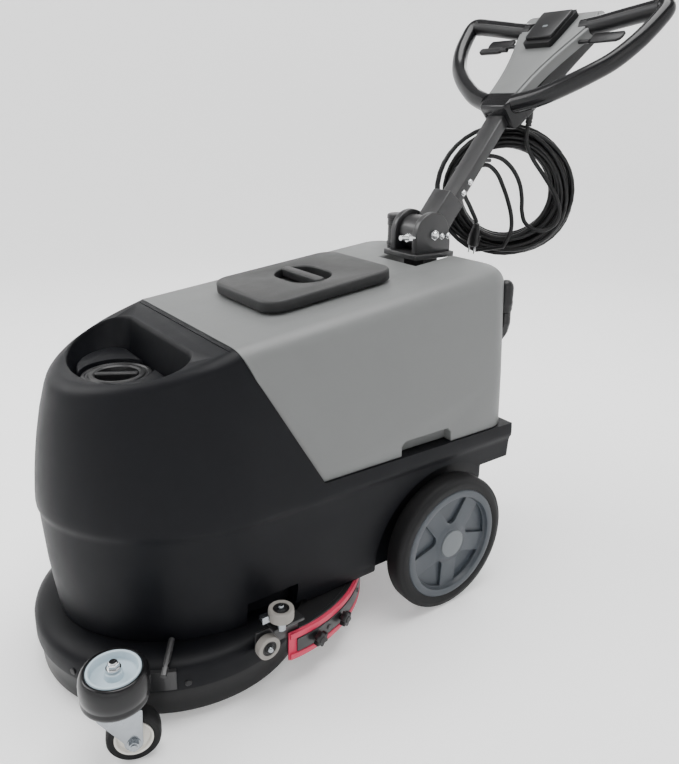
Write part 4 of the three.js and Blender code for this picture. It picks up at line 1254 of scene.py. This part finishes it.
class ScrubberCaster(bpy.types.Operator):
    """Makes the bumper roller and the caster under it"""

    bl_idname = "scrubber.caster"
    bl_label = "Bumper and caster"

    def execute(self, context):
        self.bumper()
        self.fork()
        self.wheel()
        return {"FINISHED"}

    @staticmethod
    def bumper():
        tyre = turned([
            (37.4, 103), (43, 102.2), (45.2, 103), (46.8, 106), (47.2, 110), (46.2, 112.5),
            (46.2, 114), (47.4, 116.5), (48, 124), (47.9, 134), (46.8, 141), (44.8, 146),
            (42.6, 148.6), (41, 149.4), (39, 149.2), (38.2, 148), (37.4, 147.6),
        ], 96, at=BUMPER_AT)
        core = turned([
            (7, 104), (37.2, 104), (37.2, 148.6), (36.4, 149.8), (34.6, 150), (33.2, 149.4),
            (32.6, 147), (31.8, 138), (30.6, 136.6), (28, 136), (15, 136), (13.2, 136.8),
            (12.4, 139), (12, 146), (11.2, 147), (7, 147.2),
        ], 96, at=BUMPER_AT)
        nut = turned([(0, 150.4), (10.5, 150.4), (10.5, 152), (0, 152)], 40, at=BUMPER_AT)
        hexagon = turned([(0, 152.2), (8.2, 152.2), (8.5, 152.8), (8.5, 157), (7.4, 159), (0, 159)], 6,
                         at=BUMPER_AT)
        stud = turned([(0, 90), (6, 90), (6, 160), (5.2, 161), (0, 161)], 32, at=BUMPER_AT)
        piece("bumper_tyre", tyre, "gloss_black", "bumper_roller", ["bumper_roller"])
        piece("bumper_core", core, "core_blue", "bumper_roller")
        piece("bumper_nut", joined(nut, hexagon, stud), "bright_steel", "machine",
              ["bumper_bolt"])

    @staticmethod
    def place(bm):
        turn(bm, -math.degrees(CASTER_TURN), "Z")
        return shift(bm, BUMPER_AT)

    def fork(self):
        whole = [soften(slab(rounded_outline(-21, 21, -26, 34, 9), 88, 92), 1.2, segments=2)]
        hub = [(20 + 13 * math.cos(a), 38 + 13 * math.sin(a))
               for a in (math.radians(12 - 201 * k / 18) for k in range(19))]
        outline = [(-26, 91.5), (-26, 84), *reversed(hub), (34, 84), (34, 91.5)]
        for side in (1, -1):
            leg = side_slab(outline, side * 19.5 - 1.5, side * 19.5 + 1.5)
            whole.append(soften(leg, 0.8, segments=2))
            whole.append(rod((side * 21.2, 20, 38), (side * 22.6, 20, 38), 9.5, 32))
            whole.append(rod((side * 22.4, 20, 38), (side * 28, 20, 38), 7.8, 6))
        whole.append(rod((-29.5, 20, 38), (29.5, 20, 38), 4.6, 24))
        race = turned([(6.6, 91.8), (19, 91.8), (19, 93.6), (6.6, 93.6)], 48)
        whole.append(race)
        piece("caster_yoke", self.place(joined(*whole)), "zinc", "caster_fork",
              ["caster_fork"])

    def wheel(self):
        r = CASTER_RADIUS
        tyre = turned([
            (27, -12), (30, -13.6), (35.5, -13.4), (37.4, -11), (38, -6), (38, 6), (37.4, 11),
            (35.5, 13.4), (30, 13.6), (27, 12),
        ], 72, "X")
        rim = turned([
            (5.2, -15), (10, -15), (11.5, -13), (13, -9), (22, -8.5), (24, -12.5), (26.9, -13.4),
            (26.9, 13.4), (24, 12.5), (22, 8.5), (13, 9), (11.5, 13), (10, 15), (5.2, 15),
        ], 72, "X")
        for bm in (tyre, rim):
            shift(bm, (0, CASTER_TRAIL, r))
        piece("caster_tyre", self.place(tyre), "tyre_rubber", "caster_wheel",
              ["caster_wheel"])
        piece("caster_rim", self.place(rim), "cage_white", "caster_wheel")


# ---------------------------------------------------------------- squeegee

ARC_Y = -259
ARC_START = -0.085


def bow(profile, trim=0.0, steps=112):
    """A bar that follows the squeegee's curve. The profile lists (radius, height)."""
    start = ARC_START + trim
    bm = bmesh.new()
    verts = [bm.verts.new((r * math.cos(start), r * math.sin(start), h)) for r, h in profile]
    edges = [bm.edges.new(pair) for pair in zip(verts, verts[1:] + verts[:1])]
    bmesh.ops.spin(bm, geom=verts + edges, cent=(0, 0, 0), axis=(0, 0, 1),
                   angle=math.pi - 2 * start, steps=steps, use_duplicate=False)
    bmesh.ops.holes_fill(bm, edges=[e for e in bm.edges if e.is_boundary], sides=0)
    return tidy(shift(bm, (0, ARC_Y, 0)))


def deck_room(steps):
    """The round space that the brush deck takes up, which the squeegee keeps clear of."""
    return turned([(0, 50), (DECK_CLEARANCE, 50), (DECK_CLEARANCE, 140), (0, 140)], steps, at=BRUSH_AT)


class ScrubberSqueegee(bpy.types.Operator):
    """Makes the curved squeegee with its blades, rollers, wheels and knobs"""

    bl_idname = "scrubber.squeegee"
    bl_label = "Squeegee"

    def execute(self, context):
        self.body()
        self.blades()
        for k, angle in enumerate((0.13, 0.38, math.pi - 0.38, math.pi - 0.13)):
            self.knob(k + 1, angle)
        for side, where in ((1, "left"), (-1, "right")):
            self.side(side, where)
        return {"FINISHED"}

    @staticmethod
    def body():
        band = bow([
            (226.6, 84.5), (227.5, 84), (235, 84), (235.8, 84.8), (235.8, 96.8), (234.6, 98),
            (227.8, 98), (226.6, 96.8),
        ], -ARC_START)
        plate = carved(slab(rounded_outline(-84, 84, -129.8, -26, 14), 98, 108), [
            turned([(0, 90), (8.5, 90), (8.5, 120), (0, 120)], 40, at=(x, -105, 0)) for x in (-60, 60)
        ])
        soften(plate, 1.5, lambda m: m.z > 107, 3)
        half_ring = [(227.4 * math.cos(a), ARC_Y + 227.4 * math.sin(a))
                     for a in (0.02 + (math.pi - 0.04) * k / 72 for k in range(73))]
        web = carved(slab(half_ring, 92, 97), [
            deck_room(128)])
        port = turned([
            (11, 96), (16, 96), (16, 110), (17.4, 110.6), (17.4, 113), (16, 114), (11, 114), (11, 96),
        ], 48, at=(0, -58, 0))
        piece("squeegee_beam", joined(band, web, plate), "black_paint", "squeegee",
              ["squeegee_body"])
        piece("squeegee_port", port, "coupling_blue", "squeegee")

    @staticmethod
    def blades():
        front = bow([(222.8, 49), (225.8, 49), (225.8, 95.6), (225, 96), (223.4, 96), (222.8, 95.4)],
                    0.02)
        rear = bow([
            (236.4, 47), (238.8, 47), (239.2, 47.6), (239.2, 97.4), (238.6, 98), (236.9, 98),
            (236.4, 97.4),
        ])
        lower = bow([(239.3, 48), (241.6, 48.4), (242.3, 50), (242.3, 57.4), (241.6, 58.4), (239.3, 58.8)],
                    0.01)
        upper = bow([(239.3, 86), (241.6, 86.4), (242.3, 88), (242.3, 95), (241.6, 96.4), (239.3, 96.8)],
                    0.01)
        piece("front_blade_lip", front, "black_rubber", "squeegee", ["front_blade"])
        piece("rear_blade_lip", joined(rear, lower, upper), "blade_red", "squeegee",
              ["rear_blade"])
        strap = bow([
            (239.8, 60.5), (241.2, 60), (242, 60.8), (242, 83.2), (241.2, 84), (239.8, 83.5),
        ], 0.06)
        studs = [
            soften(rod(
                (241 * math.cos(a), ARC_Y + 241 * math.sin(a), 72),
                (243.6 * math.cos(a), ARC_Y + 243.6 * math.sin(a), 72), 4.5, 6), 0.5)
            for a in (0.25, 0.7, 1.15, math.pi - 1.15, math.pi - 0.7, math.pi - 0.25)
        ]
        piece("blade_band", joined(strap, *studs), "black_paint", "squeegee", ["blade_strap"])

    @staticmethod
    def knob(number, angle):
        lobes = [(11.3 + 1.7 * math.cos(6 * t)) for t in (math.tau * k / 72 for k in range(72))]
        outline = [(r * math.cos(math.tau * k / 72), r * math.sin(math.tau * k / 72))
                   for k, r in enumerate(lobes)]
        star = slab(outline, 247, 257)
        soften(star, 1.4, lambda m: m.z > 256 or m.z < 248, 3, 50)
        boss = turned([(0, 242.5), (5, 242.5), (5.6, 247), (6.5, 257), (5.5, 258.4), (0, 258.6)], 32)
        whole = turn(joined(star, boss), 90, "Y")
        turn(whole, math.degrees(angle), "Z")
        shift(whole, (0, ARC_Y, 72))
        piece(f"star_knob_{number}", whole, "black_plastic", f"strap_knob_{number}",
              [f"strap_knob_{number}"])

    @staticmethod
    def side(side, where):
        def put(bm):
            return flipped(bm) if side < 0 else bm

        at = (246, -298, 0)
        axle = (0, -322, 100)
        tyre = turned([
            (12.6, 141.4), (17.6, 140.6), (19.4, 141.6), (20, 144), (20, 155.6), (19.4, 158),
            (17.6, 159), (12.6, 158.2),
        ], 56, at=at)
        hub = turned([
            (5.3, 139), (8, 140.6), (12.5, 141.6), (12.5, 157.4), (8, 157), (7, 158.6), (5.3, 158.6),
            (5.3, 139),
        ], 40, at=at)
        piece(f"roller_tyre_{where}", put(tyre), "roller_grey", f"side_roller_{where}",
              [f"side_roller_{where}"])
        piece(f"roller_hub_{where}", put(hub), "black_plastic", f"side_roller_{where}")
        wheel = turned([
            (12.1, 239.6), (17, 239), (18.6, 240), (19, 243), (19, 249), (18.6, 252), (17, 253),
            (12.1, 252.4),
        ], 56, "X", axle)
        inner = turned([
            (5.3, 239.2), (12, 240), (12, 251.4), (8, 251), (7, 252.8), (5.3, 252.8), (5.3, 239.2),
        ], 40, "X", axle)
        piece(f"wheel_tyre_{where}", put(wheel), "roller_grey", f"side_wheel_{where}",
              [f"side_wheel_{where}"])
        piece(f"wheel_hub_{where}", put(inner), "black_plastic", f"side_wheel_{where}")
        pins = [
            turned([(0, 122), (8, 122), (8, 138.4), (5, 138.6), (5, 160), (0, 160)], 32, at=at),
            turned([(0, 159), (4.4, 159), (4.4, 162), (3.4, 163.6), (0, 164)], 24, at=at),
            turned([(0, 231), (5, 231), (5, 253.4), (4.6, 256), (3, 258), (0, 258.6)], 24, "X",
                   axle),
            soften(block(234, 246, -330, -312, 141, 152), 1.2),
        ]
        ledge = carved(joined(
            soften(block(226, 250, -312, -258, 121, 126), 1), soften(block(230, 235, -336, -260, 90, 121), 1),
        ), [deck_room(96)])
        piece(f"side_pins_{where}", put(joined(*pins)), "zinc", "squeegee")
        piece(f"side_mount_{where}", put(ledge), "black_paint", "squeegee",
              [f"side_bracket_{where}"])


# ---------------------------------------------------------------- hinge and column


def cap_nut(x, y, z, size):
    """A domed nut whose axis lies along X, on the outside of x."""
    out = math.copysign(1, x)
    base = rod((x, y, z), (x + out * size * 0.45, y, z), size, 6)
    dome = bmesh.new()
    bmesh.ops.create_uvsphere(dome, u_segments=20, v_segments=12, radius=size * 0.78)
    shift(dome, (x + out * size * 0.42, y, z))
    return joined(base, dome)


class ScrubberHandlePost(bpy.types.Operator):
    """Makes the tilt hinge and the column above it"""

    bl_idname = "scrubber.handle_post"
    bl_label = "Hinge and column"

    def execute(self, context):
        self.hinge()
        self.column()
        return {"FINISHED"}

    @staticmethod
    def hinge():
        dome = [(PIVOT.y + 42 * math.cos(a), PIVOT.z + 42 * math.sin(a))
                for a in (math.pi * k / 32 for k in range(33))]
        outline = [(PIVOT.y + 46, 621), (PIVOT.y + 46, 640), *dome, (PIVOT.y - 42, 621)]
        parts = [soften(block(-46, 46, 122, 222, 611.6, 622), 1.5)]
        for low, high in ((24, 38), (-38, -24)):
            parts.append(soften(side_slab(outline, low, high), 2.2))
        piece("hinge_cheeks", joined(*parts), "black_paint", "machine", ["hinge_base"])
        nuts = [cap_nut(38.5 * side, PIVOT.y, PIVOT.z, 10) for side in (1, -1)]
        nuts += [cap_nut(38.2, PIVOT.y + step, 652, 6.4) for step in (20, 36)]
        nuts.append(rod((31, 137, 652), (31, 97, 655), 4.6, 24))
        nuts.append(rod((31, 121, 653), (31, 112, 653.8), 8, 6))
        nuts.append(rod((-30, PIVOT.y, PIVOT.z), (30, PIVOT.y, PIVOT.z), 6.9, 32))
        piece("hinge_nuts", joined(*nuts), "bright_steel", "machine", ["pivot_bolt"])

    @staticmethod
    def column():
        tube = taper_slab([(78, 22), (300, 22)], -36, -12)
        soften(tube, 4.5, lambda m: abs(m.x) > 20, 2)
        on_column(tube)
        hook_line = [(0, 312, 792), (4, 318, 790), (12, 323, 789), (12, 333, 789), (12, 343, 789)]
        eye = swept(hook_line, 3.6, 2, 16)
        piece("column_bar", joined(tube, eye), "black_paint", "handle", ["column_tube"])
        boss = turned([
            (7.6, -23.5), (31.5, -23.5), (33, -22), (33, 22), (31.5, 23.5), (7.6, 23.5), (7.6, -23.5),
        ], 64, "X", PIVOT)
        collar = carved(on_column(soften(taper_slab([(10, 23.5), (96, 23.5)], -41, 8), 2.5)), [
            on_column(taper_slab([(76, 22.3), (140, 22.3)], -36.3, -11.7)),
            turned([(0, -60), (33.2, -60), (33.2, 60), (0, 60)], 64, "X", PIVOT),
            block(-60, 60, 60, 260, 560, 622.5),
        ])
        piece("column_socket", joined(boss, collar), "black_paint", "handle",
              ["column_clevis"])
        screws = []
        for along in (112, 138):
            y = PIVOT.y + along * math.cos(COLUMN_LEAN) + 24 * math.sin(COLUMN_LEAN)
            z = PIVOT.z + along * math.sin(COLUMN_LEAN) - 24 * math.cos(COLUMN_LEAN)
            screws.append(cap_nut(22, y, z, 6.5))
        piece("column_screws", joined(*screws), "bright_steel", "handle")


# ---------------------------------------------------------------- head

LOOP = [
    (34, 376, 898), (82, 389, 911), (122, 405, 929), (160, 424, 950), (195, 448, 975),
    (222, 478, 1010), (236, 510, 1046), (238, 528, 1066), (226, 533, 1071), (190, 532, 1066),
    (150, 531, 1060), (98, 530, 1052), (62, 529, 1048),
]


class ScrubberHead(bpy.types.Operator):
    """Makes the handle head with its loops, panel, triggers and switches"""

    bl_idname = "scrubber.head"
    bl_label = "Handle head"

    def execute(self, context):
        self.housing()
        self.cover()
        for side, where in ((1, "left"), (-1, "right")):
            self.loop(side, where)
            self.trigger(side, where)
        self.lever()
        self.switches()
        return {"FINISHED"}

    @staticmethod
    def housing():
        nose = taper_slab([(0, 28), (2, 33), (7, 37), (16, 39.5), (38.8, 41)], -51.8, 10)
        soften(nose, 8, lambda m: m.y < 37, 5, 40)
        body = taper_slab([(35.5, 41), (120, 49), (200, 58), (262, 66.5), (274, 66.5), (281, 60)],
                          -51.8, -16.5)
        soften(body, 6, lambda m: m.y > 38, 4)
        room = on_column(taper_slab([(0, 22.3), (300.4, 22.3)], -36.4, -11.6))
        shell = carved(on_head(joined(nose, body)), [room])
        relief = turned([
            (5, 855.4), (6.4, 856), (6.4, 859), (5.6, 859.6), (5.6, 862), (7, 862.6), (7, 866),
            (6.2, 866.6), (6.2, 869), (7.6, 869.6), (7.6, 886), (5, 886), (5, 855.4),
        ], 32, at=(32, 426, 0))
        piece("head_housing", shell, "gloss_black", "handle", ["head_shell"], 36)
        piece("cord_relief", relief, "black_rubber", "handle")

    @staticmethod
    def cover():
        sides = [(39.4, 41), (60, 42.5), (90, 46), (120, 52), (150, 60.5), (180, 71), (210, 82),
                 (235, 90), (255, 94), (268, 95.5), (276, 92), (280, 85)]
        base = taper_slab(sides, -15.8, 5.5)
        soften(base, 3.5, lambda m: m.z > 5, 4, 40)
        inner = taper_slab([(a + (1.5 if a < 100 else -6 if a > 255 else 0), h - 8) for a, h in sides],
                           3.5, 8.8)
        soften(inner, 2.6, lambda m: m.z > 8.5, 4, 40)
        whole = on_head(joined(base, inner))
        piece("head_lid", whole, "shell_grey", "handle", ["head_cover"])
        panel = taper_slab([(172, 31), (176, 34), (200, 37), (256, 42), (264, 42), (268, 39)], 8.4, 21)
        soften(panel, 3, lambda m: m.z > 21, 4)
        raised = taper_slab([(183, 30), (187, 32.5), (254, 37.5), (262, 35)], 20, 27.8)
        soften(raised, 2.5, lambda m: m.z > 27, 3)
        piece("panel_block", on_head(joined(panel, raised)), "black_plastic", "handle",
              ["control_panel"])
        mark = on_head(soften(slab(rounded_outline(-7, 5, 212, 218, 2.4), 27.4, 28.2), 0.3))
        piece("panel_badge", mark, "hub_grey", "handle")

    @staticmethod
    def loop(side, where):
        points = [(side * x, y, z) for x, y, z in LOOP]
        arm = swept(points, lambda t: 15.8 + 3.0 * max(0.0, 1 - t * 1.7), 5, 28)
        grip_line = [(side * x, y, z - 2.8) for x, y, z in LOOP[8:]]
        grip = swept(grip_line, lambda t: 17.8 if t < 0.06 or t > 0.9 else 16.9, 5, 28)
        piece(f"loop_{where}", arm, "gloss_black", "handle",
              [f"handle_bar_{where}"])
        piece(f"grip_{where}", grip, "soft_grip", "handle")

    @staticmethod
    def trigger(side, where):
        outline = [(98, 199), (103, 196.4), (158, 198), (165, 202), (168, 209), (168, 220), (164, 224),
                   (102, 224), (98, 220)]
        paddle = soften(slab(outline, -10, -4.5), 2, segments=3)
        stub = rod((77, 200, -5.5), (101, 200, -5.5), 4.2, 20)
        whole = joined(paddle, stub)
        if side < 0:
            flipped(whole)
        piece(f"paddle_{where}", on_head(whole), "soft_grip", f"trigger_{where}",
              [f"trigger_{where}"])

    @staticmethod
    def lever():
        blade = soften(slab(rounded_outline(-136, -76, 148, 162, 5), 18, 25.6), 1.6)
        ribs = [soften(block(x - 1.4, x + 1.4, 148.6, 161.4, 16.6, 19), 0.5, segments=1)
                for x in range(-130, -84, 6)]
        stem = rod((-62, 155, 22), (-80, 155, 22), 4.8, 24)
        piece("release_blade", on_head(joined(blade, stem, *ribs)), "black_plastic", "release_lever",
              ["release_lever"])

    @staticmethod
    def switches():
        y = 352 + 281.03 * math.cos(0.757) + 34 * math.sin(0.757)
        z = 884 + 281.03 * math.sin(0.757) - 34 * math.cos(0.757)
        for side, name in ((1, "brush_switch"), (-1, "vacuum_switch")):
            rocker = soften(block(-12, 12, -8, 8, -4, 5), 1.6)
            for v in rocker.verts:
                if v.co.z > 3:
                    v.co.z -= 1.6 * (1 - abs(v.co.y) / 8)
            turn(rocker, math.degrees(HEAD_SLOPE) - 90, "X")
            shift(rocker, (side * 20, y, z))
            piece(f"{name}_rocker", rocker, "black_plastic", name, [name])


# ---------------------------------------------------------------- parts kept from the frame

KEPT_FINISHES = {
    "black_paint": ["chassis_frame", "brush_motor", "vacuum_motor", "caster_arm"],
    "black_plastic": ["water_valve"],
    "black_rubber": ["suction_hose", "drain_hose", "lid_seal"],
    "cage_white": ["float_cage"],
}


class ScrubberFinishes(bpy.types.Operator):
    """Gives the parts that keep their frame shape their finishes"""

    bl_idname = "scrubber.finishes"
    bl_label = "Finishes"

    def execute(self, context):
        for finish, nodes in KEPT_FINISHES.items():
            for node in nodes:
                for slot in bpy.data.objects[node].material_slots:
                    slot.material = MATERIALS[finish]
        return {"FINISHED"}


# ---------------------------------------------------------------- add-on

STEPS = (
    ScrubberStage, ScrubberCord, ScrubberNoseTank, ScrubberRecoveryTank, ScrubberDeck,
    ScrubberRearWheels, ScrubberCaster, ScrubberSqueegee, ScrubberHandlePost, ScrubberHead,
    ScrubberFinishes,
)


class ScrubberPanel(bpy.types.Panel):
    """Lists the scrubber's sizes, colours and steps"""

    bl_idname = "VIEW3D_PT_scrubber"
    bl_label = "Floor scrubber"
    bl_space_type = "VIEW_3D"
    bl_region_type = "UI"
    bl_category = "Scrubber"

    def draw(self, context):
        for group in (context.scene.scrubber_sizes, context.scene.scrubber_colours):
            for name in group.__annotations__:
                self.layout.prop(group, name)
        for step in STEPS:
            self.layout.operator(step.bl_idname)


CLASSES = (ScrubberSizes, ScrubberColours, *STEPS, ScrubberPanel)


def register():
    for cls in CLASSES:
        bpy.utils.register_class(cls)
    bpy.types.Scene.scrubber_sizes = bpy.props.PointerProperty(type=ScrubberSizes)
    bpy.types.Scene.scrubber_colours = bpy.props.PointerProperty(type=ScrubberColours)


def unregister():
    del bpy.types.Scene.scrubber_sizes
    del bpy.types.Scene.scrubber_colours
    for cls in reversed(CLASSES):
        bpy.utils.unregister_class(cls)


def main():
    register()
    make_materials(bpy.context.scene.scrubber_colours)
    for step in STEPS:
        group, name = step.bl_idname.split(".")
        getattr(getattr(bpy.ops, group), name)()


if __name__ == "__main__":
    main()
